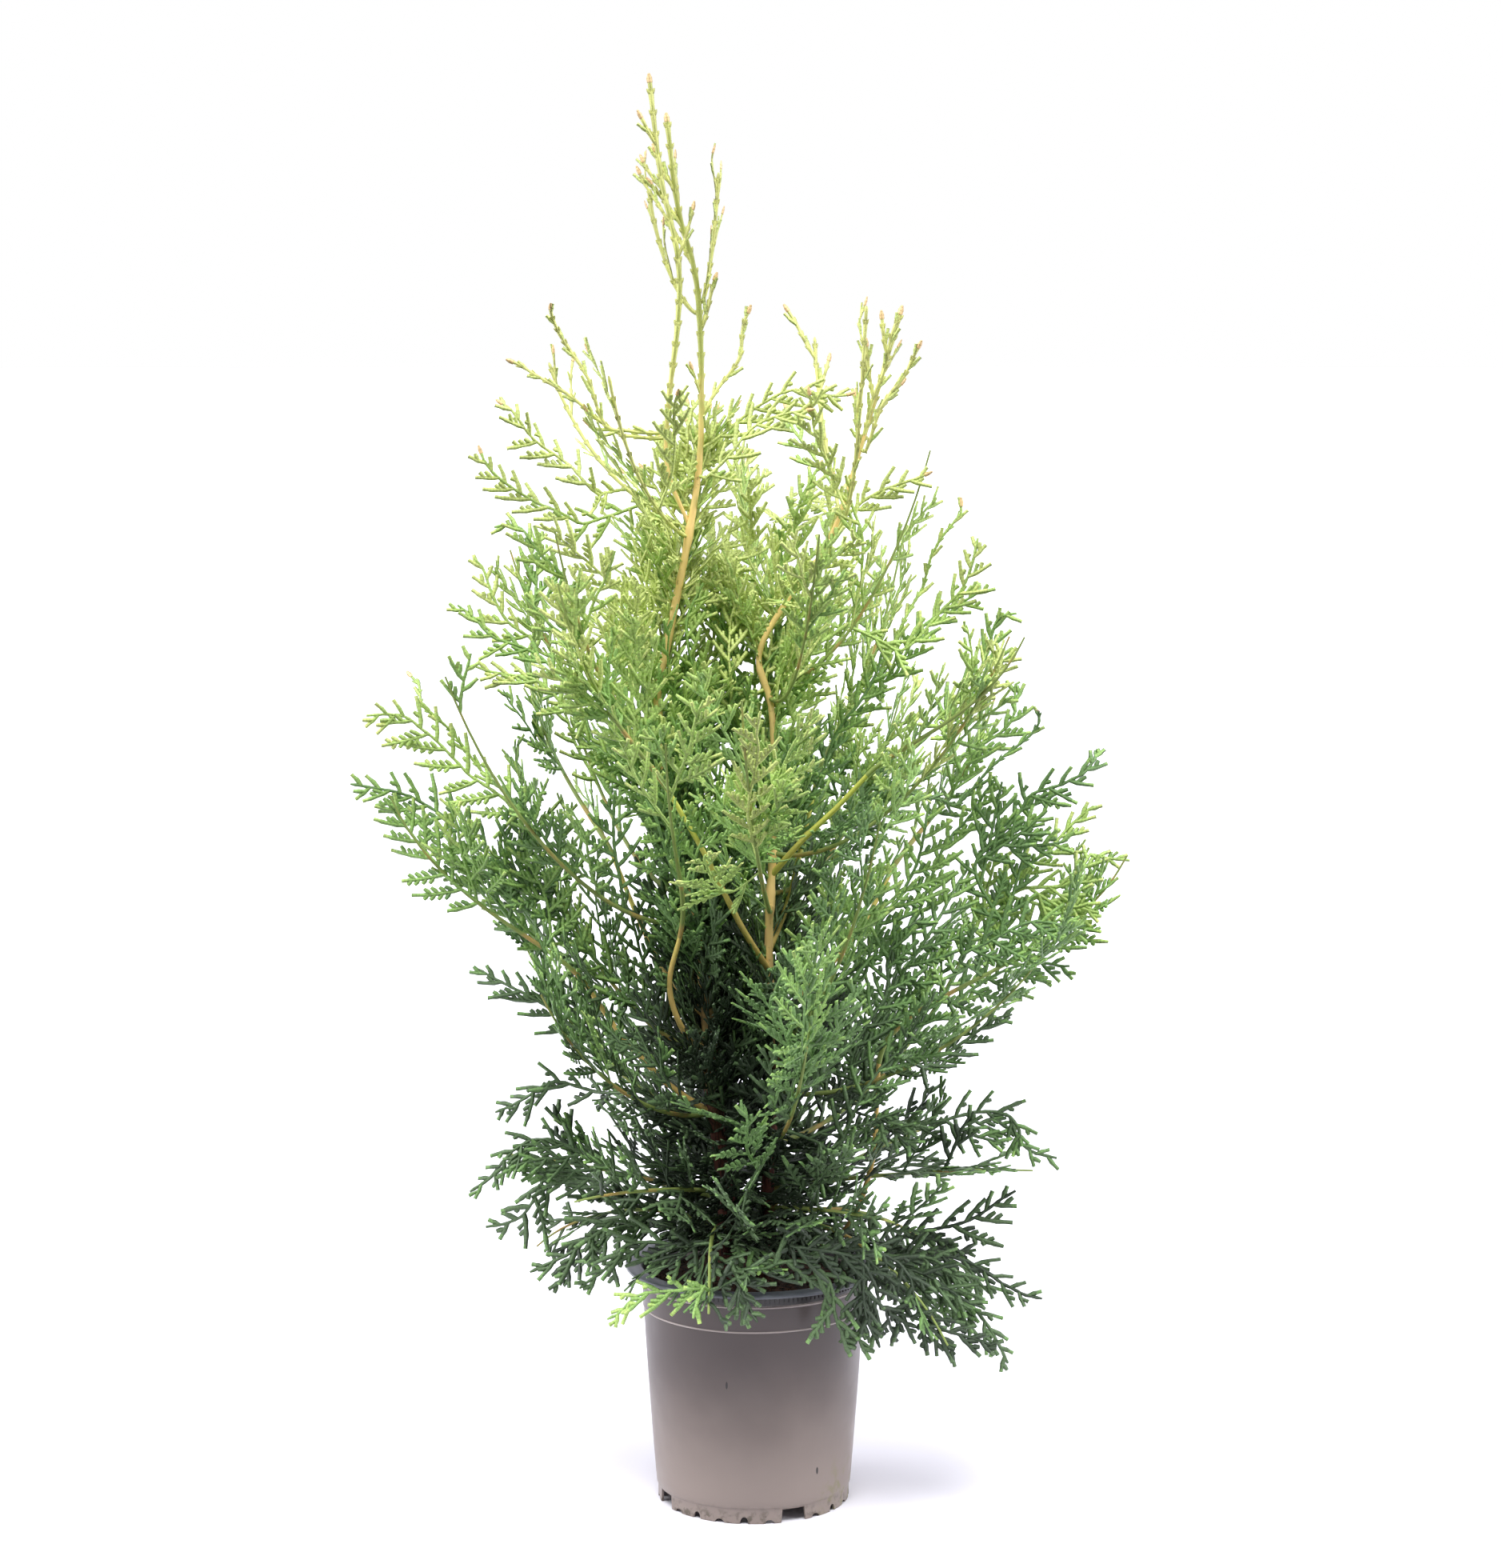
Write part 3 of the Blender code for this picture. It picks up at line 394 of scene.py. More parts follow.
@dataclass(frozen=True)
class MouldedPlastic(Finish):
    """Polypropylene, injection moulded from recycled stock: an even satin taupe.

    The eye gets a soft wide sheen, faint flow clouds, fine drag lines down the wall, a dusty foot
    and a few dark nicks from handling. Light and shade are painted in as well: the wall is painted
    darker towards the top as shade from the crown, the flange darker and bluish as painted shade and
    reflection, the recess under the flange as a dark painted shadow, and the beads with painted
    highlight lines.
    """

    relief: float = 0.02 * MILLIMETRE
    clouds: tuple = (Cloud(42, 3.0), Cloud(5, 6.0), Cloud(8, 5.0), Cloud(0.9, 3.0, 0.08))
    flow_lift: float = 0.03
    gloss_spread: tuple = (-0.05, 0.07)
    # Painted shade: the wall is painted darker towards the top, where the crown above shades it
    upper: str = "#463c3a"
    shaded_top_heights: tuple = (0.030, 0.150)
    # Painted shade and painted bluish reflection: all above the flange's underside is a darker cool grey
    flange: str = "#585c62"
    flange_shade_heights: tuple = (0.1749, 0.1751)
    # Painted shadow in the recess under the flange, then painted highlights along the bead and the ridge
    shade_and_highlight_bands: tuple = (
        (0.1668, 0.1749, "#1f1b1a"),
        # Painted highlights on the tops of the bead and the ridge
        (0.1648, 0.1662, "#a79b97"),
        (0.1462, 0.1471, "#a79b97"),
    )
    band_fade: float = 0.25 * MILLIMETRE
    dirt: str = "#4c4438"
    dirt_height: float = 0.016
    stain: str = "#6e6a42"
    stain_across: tuple = (0.040, 0.066)
    stain_heights: tuple = (0.050, 0.010)
    stain_cover: float = 0.8
    nick: str = "#1f1b1a"
    nick_places: tuple = ((-0.0195, 0.106), (0.0465, 0.036))
    nick_size: tuple = (0.0009, 0.0032)
    front_from: tuple = (0.0, -0.02)

    def details(self, tree: NodeTree, place: NodeSocket, clouds: list[NodeSocket]) -> dict:
        """Add the flow, dirt and a damp stain at the foot, two nicks, and painted light and shade: the wall
        darker towards the top, a dark shadow under the flange, highlight lines on the beads and a darker
        bluish flange.

        Args:
            tree: The shader tree.
            place: The Object coordinates.
            clouds: The flow, the grime, the stain's blots and the drag lines.

        Returns:
            The sockets of the colour, the roughness and the height of the drag lines.
        """
        flow, grime, blots, drag = clouds
        axes = add_node(tree, AXES, {}, {"Vector": place})
        height = axes["Z"]
        # Painted shade: the wall turns darker towards the top, its edge made wavy by the flow clouds
        lifted = add_node(tree, MATH, MULTIPLY_ADD, {0: flow, 1: self.flow_lift, 2: height})["Value"]
        tone = laid_over(tree, self.colour, self.upper, (lifted, *self.shaded_top_heights))
        # Painted shadow under the flange and painted highlight lines on the beads
        for low, high, colour in self.shade_and_highlight_bands:
            ramps = ((height, low - self.band_fade, low), (height, high + self.band_fade, high))
            tone = laid_over(tree, tone, colour, *ramps)
        # Painted shade and painted bluish reflection on the flange's top and lip
        tone = laid_over(tree, tone, self.flange, (height, *self.flange_shade_heights))
        tone = laid_over(tree, tone, self.dirt, (height, self.dirt_height, 0.0), (grime, 0.46, 0.66))
        side = (axes["X"], *self.stain_across)
        damp = (height, *self.stain_heights)
        tone = laid_over(tree, tone, self.stain, side, damp, (blots, 0.50, 0.68), most=self.stain_cover)
        width, length = self.nick_size
        for across, up in self.nick_places:
            off = add_node(tree, VECTOR_MATH, SUBTRACT, {0: place, 1: (across, 0.0, up)})[0]
            shares = {0: off, 1: (1.0 / width, 0.0, 1.0 / length)}
            scaled = add_node(tree, VECTOR_MATH, MULTIPLY, shares)[0]
            square = {"operation": "DOT_PRODUCT"}
            oval = add_node(tree, VECTOR_MATH, square, {0: scaled, 1: scaled})["Value"]
            tone = laid_over(tree, tone, self.nick, (oval, 1.0, 0.5), (axes["Y"], *self.front_from))
        glosses = [self.roughness + change for change in self.gloss_spread]
        gloss = ramped(tree, (flow, 0.3, 0.7), least=glosses[0], most=glosses[1])
        return {"Base Color": tone, "Roughness": gloss, "Height": drag}


@dataclass(frozen=True)
class Mottled(Finish):
    """A matt surface with blots of other colours, and its relief from the last of its clouds."""

    blots: tuple = ()

    def details(self, tree: NodeTree, place: NodeSocket, clouds: list[NodeSocket]) -> dict:
        """Lay the blots over the colour.

        Args:
            tree: The shader tree.
            place: The Object coordinates, not used here.
            clouds: One for each blot's colour, and one for the grain.

        Returns:
            The sockets of the colour and the grain.
        """
        tone = self.colour
        for (colour, start, full), cloud in zip(self.blots, clouds):
            tone = laid_over(tree, tone, colour, (cloud, start, full))
        return {"Base Color": tone, "Height": clouds[-1]}


@dataclass(frozen=True)
class Bark(Finish):
    """Bark of a young stem, which changes with its age and so with its height.

    The eye gets matt red-brown strips with dark furrows at the foot, smooth satin orange-tan with
    faint scars higher up, and yellow-green rind near the tip.
    """

    relief: float = 0.35 * MILLIMETRE
    clouds: tuple = (Cloud(22, 3.0), Cloud(1.7, 4.0, 0.14), Cloud(3.5, 3.0))
    old: str = "#5b3226"
    furrow: str = "#2c1811"
    rind: str = "#a9b25c"
    young_from: tuple = (0.36, 0.54)
    green_from: tuple = (0.74, 0.86)
    age_drift: float = 0.16
    old_roughness: float = 0.88

    def details(self, tree: NodeTree, place: NodeSocket, clouds: list[NodeSocket]) -> dict:
        """Add the change with height, long furrows, blotches and scars.

        Args:
            tree: The shader tree.
            place: The Object coordinates.
            clouds: The drift of the age, the strips and the scars.

        Returns:
            The sockets of the colour, the roughness and the furrows.
        """
        blotches, strips, scars = clouds
        height = add_node(tree, AXES, {}, {"Vector": place})["Z"]
        drift = {0: blotches, 1: self.age_drift, 2: -0.5 * self.age_drift}
        drifted = add_node(tree, MATH, MULTIPLY_ADD, drift)["Value"]
        aged = add_node(tree, MATH, ADD, {0: height, 1: drifted})["Value"]
        young_from = (aged, *self.young_from)
        old = laid_over(tree, self.furrow, self.old, (strips, 0.36, 0.58))
        young = laid_over(tree, self.colour, self.old, (scars, 0.62, 0.90))
        tone = laid_over(tree, old, young, young_from)
        tone = laid_over(tree, tone, self.rind, (aged, *self.green_from))
        gloss = ramped(tree, young_from, least=self.old_roughness, most=self.roughness)
        return {"Base Color": tone, "Roughness": gloss, "Height": strips}


@dataclass(frozen=True)
class ScaleLeaf(Finish):
    """Scale leaves pressed flat round a branchlet: waxy, satin, in overlapping pairs.

    The eye gets one plain green for each spray, a dip in the relief with a painted shade line where
    one pair of scales ends under the next, and a soft waxy light along the keels.
    """

    relief: float = 0.25 * MILLIMETRE
    clouds: tuple = (Cloud(9, 2.0),)
    patch_light: tuple = (0.86, 1.14)
    scale_length: float = 2.6 * MILLIMETRE
    # Painted shade: how much darker each pair of scales is where it ends under the next, and how far it
    # reaches
    seam_shade_depth: float = 0.28
    seam_shade_end: float = 0.34

    def details(self, tree: NodeTree, place: NodeSocket, clouds: list[NodeSocket]) -> dict:
        """Add slight unevenness, and the seams between pairs of scales as relief and as painted shade.

        Args:
            tree: The shader tree.
            place: The Object coordinates, not used here.
            clouds: The patches.

        Returns:
            The sockets of the colour and the seams.
        """
        darkest, lightest = self.patch_light
        uneven = ramped(tree, (clouds[0], 0.3, 0.7), least=darkest, most=lightest)
        along = add_node(tree, "ShaderNodeAttribute", {"attribute_name": "along"})["Fac"]
        pairs = add_node(tree, MATH, DIVIDE, {0: along, 1: self.scale_length})["Value"]
        part = add_node(tree, MATH, {"operation": "FRACT"}, {0: pairs})["Value"]
        # Painted shade at the foot of each pair of scales; the same ramp also gives the relief
        seam = ramped(tree, (part, 0.0, self.seam_shade_end), least=1.0 - self.seam_shade_depth)
        light = add_node(tree, MATH, MULTIPLY, {0: uneven, 1: seam})["Value"]
        green = {"Color": linear(self.colour), "Value": light}
        tone = add_node(tree, "ShaderNodeHueSaturation", {}, green)["Color"]
        return {"Base Color": tone, "Height": seam}


POT_PLASTIC = MouldedPlastic("moulded_polypropylene_taupe", "#7d716a", 0.34, 1.49)
# Milled peat with bark and wood fibre: matt, near black, with red-brown crumbs and straw specks
POTTING_MIX = Mottled(
    "milled_peat_mix",
    "#1d130d",
    0.95,
    1.35,
    relief=1.2 * MILLIMETRE,
    clouds=(Cloud(5, 5.0), Cloud(1.6, 2.0), Cloud(5, 5.0)),
    blots=(("#4a3020", 0.40, 0.66), ("#8a6a45", 0.66, 0.74)),
)
# Rind of a side shoot of the year: satin green, scaly, drying to tan in patches
GREEN_TWIG = Mottled(
    "green_shoot_rind",
    "#8a9c52",
    0.55,
    1.45,
    relief=0.2 * MILLIMETRE,
    clouds=(Cloud(26, 3.0), Cloud(2.2, 3.0)),
    blots=(("#b39a58", 0.52, 0.66),),
)
STEM_BARK = Bark("young_stem_bark", "#ffdb90", 0.50, 1.45, young_from=(0.28, 0.42))
BOUGH_BARK = Bark(
    "green_gold_bough_bark",
    "#e2c272",
    0.50,
    1.45,
    rind="#c6ca58",
    young_from=(0.15, 0.30),
    green_from=(0.38, 0.54),
)
# Seamless studio paper: matt, even and pale, with no gloss as it is uncoated
FLOOR_PAPER = Finish("background_paper", "#eeedf3", 0.9, specular=0.0)

# Leaf tones run from shaded old sprays at the foot to the newest growth at the top
LEAF_TONES = (
    ScaleLeaf("scale_leaf_shade", "#3a4a34", 0.50, 1.45),
    ScaleLeaf("scale_leaf_deep", "#577049", 0.48, 1.45),
    ScaleLeaf("scale_leaf_bough", "#74995a", 0.46, 1.45),
    ScaleLeaf("scale_leaf_fresh", "#97be69", 0.46, 1.45),
    ScaleLeaf("scale_leaf_spring", "#b7d577", 0.46, 1.45),
    ScaleLeaf("scale_leaf_lime", "#d6e58b", 0.46, 1.45),
)
LEADING_SCALE = ScaleLeaf(
    "scale_leaf_leading_shoot", "#e2e68e", 0.46, 1.45, scale_length=0.015, seam_shade_depth=0.30
)
TIP_AMBER = ScaleLeaf("scale_leaf_amber_tip", "#f6d49a", 0.46, 1.45)
TONE_SLOTS = ("foliage_deep",) * 2 + ("foliage_fresh",) * 2 + ("foliage_lime",) * 2


# Lines and swept strands


class Path:
    """A line through points, read by distance from its start."""

    def __init__(self, points: Sequence[Vector]) -> None:
        """Measure the line.

        Args:
            points: The corners, at least two.
        """
        self.points = list(points)
        self.marks = [0.0]
        for a, b in zip(self.points, self.points[1:]):
            self.marks.append(self.marks[-1] + (b - a).length)
        self.length = self.marks[-1]

    def at(self, distance: float) -> Vector:
        """Find a place on the line.

        Args:
            distance: How far along it lies, kept within the line.

        Returns:
            The point.
        """
        distance = min(max(distance, 0.0), self.length)
        place = min(max(bisect.bisect_left(self.marks, distance), 1), len(self.marks) - 1)
        low, high = self.marks[place - 1], self.marks[place]
        share = (distance - low) / (high - low) if high > low else 0.0
        return self.points[place - 1].lerp(self.points[place], share)

    def heading(self, distance: float) -> Vector:
        """Return the unit direction of travel at a distance."""
        step = 0.02 * self.length
        return (self.at(distance + step) - self.at(distance - step)).normalized()

    def at_height(self, height: float) -> float:
        """Return the first distance at which the line stands at a height."""
        marks = (mark for mark, point in zip(self.marks, self.points) if point.z >= height)
        return next(marks, self.length)

    def beyond(self, distance: float) -> "Path":
        """Return the part of the line past a distance."""
        rest = [point for mark, point in zip(self.marks, self.points) if mark > distance + MILLIMETRE]
        return Path([self.at(distance), *rest])

    def spaced(self, step: float, fewest: int) -> tuple[list[float], list[Vector]]:
        """Divide the line evenly.

        Args:
            step: About how far apart the places are.
            fewest: The least number of parts.

        Returns:
            The distances and the points there, with both ends.
        """
        count = max(fewest, round(self.length / step))
        marks = [self.length * part / count for part in range(count + 1)]
        return marks, [self.at(mark) for mark in marks]


def smooth_path(corners: Sequence[Vector | tuple], fineness: int = 12) -> Path:
    """Draw a smooth line through corners, as one cubic between each two.

    Args:
        corners: The corners.
        fineness: The number of straight parts in each cubic.

    Returns:
        The line.
    """
    knots = [Vector(corner) for corner in corners]
    ends = [knots[0] * 2.0 - knots[1], *knots, knots[-1] * 2.0 - knots[-2]]
    line = [knots[0]]
    for a, b, c, d in zip(ends, ends[1:], ends[2:], ends[3:]):
        for step in range(1, fineness + 1):
            t = step / fineness
            bent = (2.0 * a - 5.0 * b + 4.0 * c - d) * t * t + (3.0 * b - a - 3.0 * c + d) * t**3
            line.append(0.5 * (2.0 * b + (c - a) * t + bent))
    return Path(line)


def bowed_path(root: Vector, direction: Vector, length: float, lift: Vector, steps: int = 8) -> Path:
    """Return a line that starts straight for a length and bows over by a lift at its tip."""
    shares = [step / steps for step in range(steps + 1)]
    return Path([root + direction * (length * t) + lift * (t * t) for t in shares])


class Strands:
    """Centre lines to be swept, with each point's girth and face and each line's ring spacing."""

    SIDES = 3

    def __init__(self) -> None:
        """Start with no strands."""
        self.points: list[Vector] = []
        self.edges: list[tuple[int, int]] = []
        self.girths: list[float] = []
        self.faces: list[Vector] = []
        self.pitches: list[float] = []
        self.triangles = 0

    def add(self, points: Sequence[Vector], girths: Sequence[float], face: Vector, pitch: float) -> None:
        """Add one strand.

        Args:
            points: Its centre line from root to tip.
            girths: The half width at each point.
            face: The direction that its flat side looks in.
            pitch: The distance between its rings.
        """
        start = len(self.points)
        length = sum((b - a).length for a, b in zip(points, points[1:]))
        self.points += points
        self.girths += girths
        self.faces += [face] * len(points)
        self.pitches += [pitch] * len(points)
        self.edges += [(start + place, start + place + 1) for place in range(len(points) - 1)]
        self.triangles += (int(length / pitch) + 1) * self.SIDES * 2

    def shaped(self, name: str, tree: NodeTree, inputs: dict) -> Object:
        """Sweep the strands.

        Args:
            name: The name of the piece.
            tree: The tree that sweeps them.
            inputs: Its input values by socket name.

        Returns:
            The swept piece.
        """
        obj = mesh_object(name, self.points, self.edges)
        for label, values in (("girth", self.girths), ("pitch", self.pitches)):
            obj.data.attributes.new(label, "FLOAT", "POINT").data.foreach_set("value", values)
        flat = [part for face in self.faces for part in face]
        obj.data.attributes.new("face", "FLOAT_VECTOR", "POINT").data.foreach_set("vector", flat)
        return shape_by(obj, tree, inputs)


def ringed_lines(tree: NodeTree, given: NodeOutputs) -> tuple[NodeSocket, NodeSocket]:
    """Add the nodes that divide strands at their rings.

    Args:
        tree: The geometry tree.
        given: The sockets of its inputs.

    Returns:
        The curves with a point at each ring, and their girth.
    """
    number = {"data_type": "FLOAT"}
    girth = add_node(tree, ATTRIBUTE, number, {"Name": "girth"})["Attribute"]
    pitch = add_node(tree, ATTRIBUTE, number, {"Name": "pitch"})["Attribute"]
    lines = add_node(tree, "GeometryNodeMeshToCurve", {}, {"Mesh": given["Geometry"]})["Curve"]
    spacing = {"Curve": lines, "Length": pitch}
    rings = add_node(tree, "GeometryNodeResampleCurve", {"mode": "LENGTH"}, spacing)["Curve"]
    return rings, girth


def scale_strand_tree() -> NodeTree:
    """Build the tree that sweeps strands into flat scaly branchlets with blunt tips.

    Returns:
        A tree with inputs for the flatness, the swell at every other ring, the length and least
        share of the tip, and the material.
    """
    labels = ("Flatness", "Swell", "Tip Length", "Tip Share")
    tree, given = geometry_tree("scale_strands", dict.fromkeys(labels, "Float"))
    rings, girth = ringed_lines(tree, given)
    face = add_node(tree, ATTRIBUTE, {"data_type": "FLOAT_VECTOR"}, {"Name": "face"})["Attribute"]
    sides = {"Curve": rings, "Normal": face}
    faced = add_node(tree, "GeometryNodeSetCurveNormal", {"mode": "FREE"}, sides)["Curve"]
    spot = add_node(tree, "GeometryNodeSplineParameter")
    whole = add_node(tree, "GeometryNodeSplineLength")["Length"]
    numbers = {"data_type": "FLOAT", "domain": "POINT"}
    along = {"Name": "along", "Geometry": faced, "Value": spot["Length"]}
    marked = add_node(tree, "GeometryNodeStoreNamedAttribute", numbers, along)["Geometry"]
    after = add_node(tree, MATH, ADD, {0: spot["Index"], 1: 1.0})[0]
    odd = add_node(tree, MATH, {"operation": "MODULO"}, {0: after, 1: 2.0})[0]
    narrowed = add_node(tree, MATH, MULTIPLY, {0: odd, 1: given["Swell"]})[0]
    waist = add_node(tree, MATH, SUBTRACT, {0: 1.0, 1: narrowed})[0]
    left = add_node(tree, MATH, SUBTRACT, {0: whole, 1: spot["Length"]})[0]
    ending = {"Value": left, "From Max": given["Tip Length"], "To Min": given["Tip Share"]}
    tip = add_node(tree, MAP_RANGE, {}, ending)["Result"]
    shaped = add_node(tree, MATH, MULTIPLY, {0: waist, 1: tip})[0]
    size = add_node(tree, MATH, MULTIPLY, {0: shaped, 1: girth})[0]
    round_outline = {"Resolution": Strands.SIDES, "Radius": 1.0}
    keeled = add_node(tree, "GeometryNodeCurvePrimitiveCircle", {}, round_outline)["Curve"]
    shares = {"X": given["Flatness"], "Y": 1.0 / math.sin(math.tau / Strands.SIDES)}
    flattened = {"Geometry": keeled, "Scale": add_node(tree, VECTOR, {}, shares)[0]}
    outline = add_node(tree, "GeometryNodeTransform", {}, flattened)[0]
    parts = {"Curve": marked, "Profile Curve": outline, "Scale": size, "Fill Caps": True}
    swept = add_node(tree, "GeometryNodeCurveToMesh", {}, parts)["Mesh"]
    return close_tree(tree, given, swept, smooth=True)


def wood_strand_tree() -> NodeTree:
    """Build the tree that sweeps strands into round wood with the relief of bark.

    Returns:
        A tree with inputs for the sides, the relief's depth, the furrows' width and how much
        longer than wide they are, and the material.
    """
    labels = ("Relief", "Furrow", "Stretch")
    tree, given = geometry_tree("wood_strands", {"Sides": "Int", **dict.fromkeys(labels, "Float")})
    rings, girth = ringed_lines(tree, given)
    sides = {"Resolution": given["Sides"], "Radius": 1.0}
    outline = add_node(tree, "GeometryNodeCurvePrimitiveCircle", {}, sides)["Curve"]
    parts = {"Curve": rings, "Profile Curve": outline, "Scale": girth, "Fill Caps": True}
    swept = add_node(tree, "GeometryNodeCurveToMesh", {}, parts)["Mesh"]
    place = add_node(tree, "GeometryNodeInputPosition")["Position"]
    flat = add_node(tree, MATH, DIVIDE, {0: 1.0, 1: given["Stretch"]})[0]
    shares = add_node(tree, VECTOR, {}, {"X": 1.0, "Y": 1.0, "Z": flat})[0]
    squeezed = add_node(tree, VECTOR_MATH, MULTIPLY, {0: place, 1: shares})[0]
    fine = add_node(tree, MATH, DIVIDE, {0: 1.0, 1: given["Furrow"]})[0]
    furrows = add_node(tree, NOISE, {}, {"Vector": squeezed, "Scale": fine, "Detail": 3.0})["Fac"]
    centred = add_node(tree, MATH, SUBTRACT, {0: furrows, 1: 0.5})[0]
    depth = add_node(tree, MATH, MULTIPLY, {0: centred, 1: given["Relief"]})[0]
    normal = add_node(tree, "GeometryNodeInputNormal")["Normal"]
    push = add_node(tree, VECTOR_MATH, SCALE, {0: normal, "Scale": depth})[0]
    carved = add_node(tree, "GeometryNodeSetPosition", {}, {"Geometry": swept, "Offset": push})[0]
    return close_tree(tree, given, carved, smooth=True)


# Pot and potting mix


class Notch(Enum):
    """The kinds of opening in the pot's foot, with half width in degrees and height in metres."""

    SLOT = (13.0, 0.0100)
    ARCH = (2.5, 0.0052)
    NICK = (2.8, 0.0027)


@dataclass(frozen=True)
class Pot:
    """The moulded nursery pot: a thin shell with a flat overhanging rim and a notched foot."""

    height: float = 0.178
    rim_radius: float = 0.095
    neck_radius: float = 0.0835
    foot_radius: float = 0.0712
    foot_height: float = 0.0115
    foot_step: float = 0.0011
    belly: float = 0.0006
    wall: float = 0.0016
    lip: float = 0.0030
    bead_height: float = 0.1650
    ridge_height: float = 0.1465
    bead_size: float = 0.0011
    inside_marks: tuple = (0.06, 0.10, 0.14, 0.160, 0.1735)
    neck_marks: tuple = (0.1610, 0.1560, 0.1505)
    wall_marks: tuple = (0.142, 0.130, 0.115, 0.100, 0.085, 0.070, 0.055, 0.040, 0.028, 0.018)
    centre_pad: float = 0.016
    columns: int = 480
    notch_places: int = 24
    notch_turn: float = 24.5
    slot_slant: float = 4.5
    sharp_angle: float = 50.0
    rib_count: int = 150
    rib_size: tuple = (0.0006, 0.0007, 0.0052)

    def notch_at(self, place: int) -> Notch:
        """Return the kind of notch at one of the even places round the foot."""
        return Notch.SLOT if place % 6 == 0 else Notch.ARCH if place % 2 == 0 else Notch.NICK

    def foot_edge(self, azimuth: float) -> float:
        """Find how high the foot's edge stands over the floor.

        Args:
            azimuth: Where on the foot.

        Returns:
            The height.
        """
        step = 360.0 / self.notch_places
        place = round((azimuth - self.notch_turn) / step)
        off = abs(azimuth - self.notch_turn - place * step)
        kind = self.notch_at(place % self.notch_places)
        half, height = kind.value
        if off >= half:
            return 0.0
        if kind is Notch.SLOT:
            return height * min(1.0, (half - off) / self.slot_slant)
        return height * math.sqrt(1.0 - (off / half) ** 2)

    def wall_radius(self, height: float) -> float:
        """Find the outside of the plain wall.

        Args:
            height: How high over the floor.

        Returns:
            The radius.
        """
        share = (height - self.foot_height) / (self.height - self.foot_height)
        straight = blend(self.foot_radius + self.foot_step, self.neck_radius, share)
        return straight + self.belly * math.sin(math.pi * share)

    def profile(self, foot_edge: float) -> list[tuple[float, float]]:
        """Return the section of the shell as (radius, height), round from inside to underside.

        Args:
            foot_edge: How high the foot's edge stands at this column.

        Returns:
            The points, with the same number for every column.
        """
        top, neck, rim, foot = self.height, self.neck_radius, self.rim_radius, self.foot_radius
        foot_top, pad = self.foot_height, self.centre_pad
        inside = foot - self.wall
        lip = top - self.lip
        floor_top = foot_top + self.wall
        inner = [(0.0, floor_top), (foot * 0.6, floor_top), (inside - 0.002, floor_top)]
        inner += [(inside, floor_top + 0.003)]
        inner += [(self.wall_radius(z) - self.wall, z) for z in self.inside_marks]
        mouth = [
            (neck - 0.0002, top - 0.0009),
            (neck + 0.0012, top - 0.0002),
            (neck + 0.0030, top),
            (rim - 0.0012, top - 0.0001),
            (rim - 0.0004, top - 0.0004),
            (rim, top - 0.0011),
            (rim, lip + 0.0003),
            (rim - 0.0003, lip),
            (rim - 0.0010, lip),
            (rim - 0.0013, lip + 0.0006),
            (rim - 0.0016, top - 0.0020),
            (neck + 0.0010, top - 0.0026),
            (neck + 0.0002, top - 0.0034),
        ]
        wall = [(neck - 0.0003, self.bead_height + 0.0060)]
        wall += self.bead(self.bead_height, self.bead_size)
        wall += [(self.wall_radius(z), z) for z in self.neck_marks]
        wall += self.bead(self.ridge_height, self.bead_size * 0.6)
        wall += [(self.wall_radius(z), z) for z in self.wall_marks]
        wall += [
            (foot + self.foot_step, foot_top + 0.0008),
            (foot + self.foot_step * 0.7, foot_top + 0.0001),
            (foot + 0.0003, foot_top - 0.0002),
        ]
        wall += [(foot, blend(foot_top - 0.0006, foot_edge, t)) for t in (0.0, 0.4, 0.8, 1.0)]
        under = [(inside, foot_edge), (inside, foot_top - 0.001), (inside - 0.002, foot_top)]
        under += [(pad + 0.004, foot_top), (pad + 0.001, foot_top - 0.002)]
        under += [(pad, 0.0005), (pad - 0.0005, 0.0), (0.0, 0.0)]
        return inner + mouth + wall + under

    def bead(self, height: float, size: float) -> list[tuple[float, float]]:
        """Return the section of a half-round bead that stands out of the wall.

        Args:
            height: The height of its middle.
            size: Its half width.

        Returns:
            The points, from the top down.
        """
        points = []
        for step in range(7):
            turn = math.pi * step / 6
            middle = height + size * math.cos(turn)
            points.append((self.wall_radius(middle) + size * 0.75 * math.sin(turn), middle))
        return points

    def shell(self) -> Object:
        """Build the shell as one turned mesh whose foot edge rises at each notch.

        Returns:
            The finished shell.
        """
        vertices, faces = [], []
        count = len(self.profile(0.0))
        for column in range(self.columns):
            azimuth = 360.0 * column / self.columns
            section = self.profile(self.foot_edge(azimuth))
            vertices += [toward(azimuth) * radius + UP * height for radius, height in section]
            here = column * count
            there = (column + 1) % self.columns * count
            for point in range(count - 1):
                faces.append((here + point, there + point, there + point + 1, here + point + 1))
        obj = mesh_object("nursery_pot", vertices, faces=faces)
        face_outwards(obj)
        obj.data.materials.append(POT_PLASTIC.material())
        obj.data.set_sharp_from_angle(angle=math.radians(self.sharp_angle))
        return obj

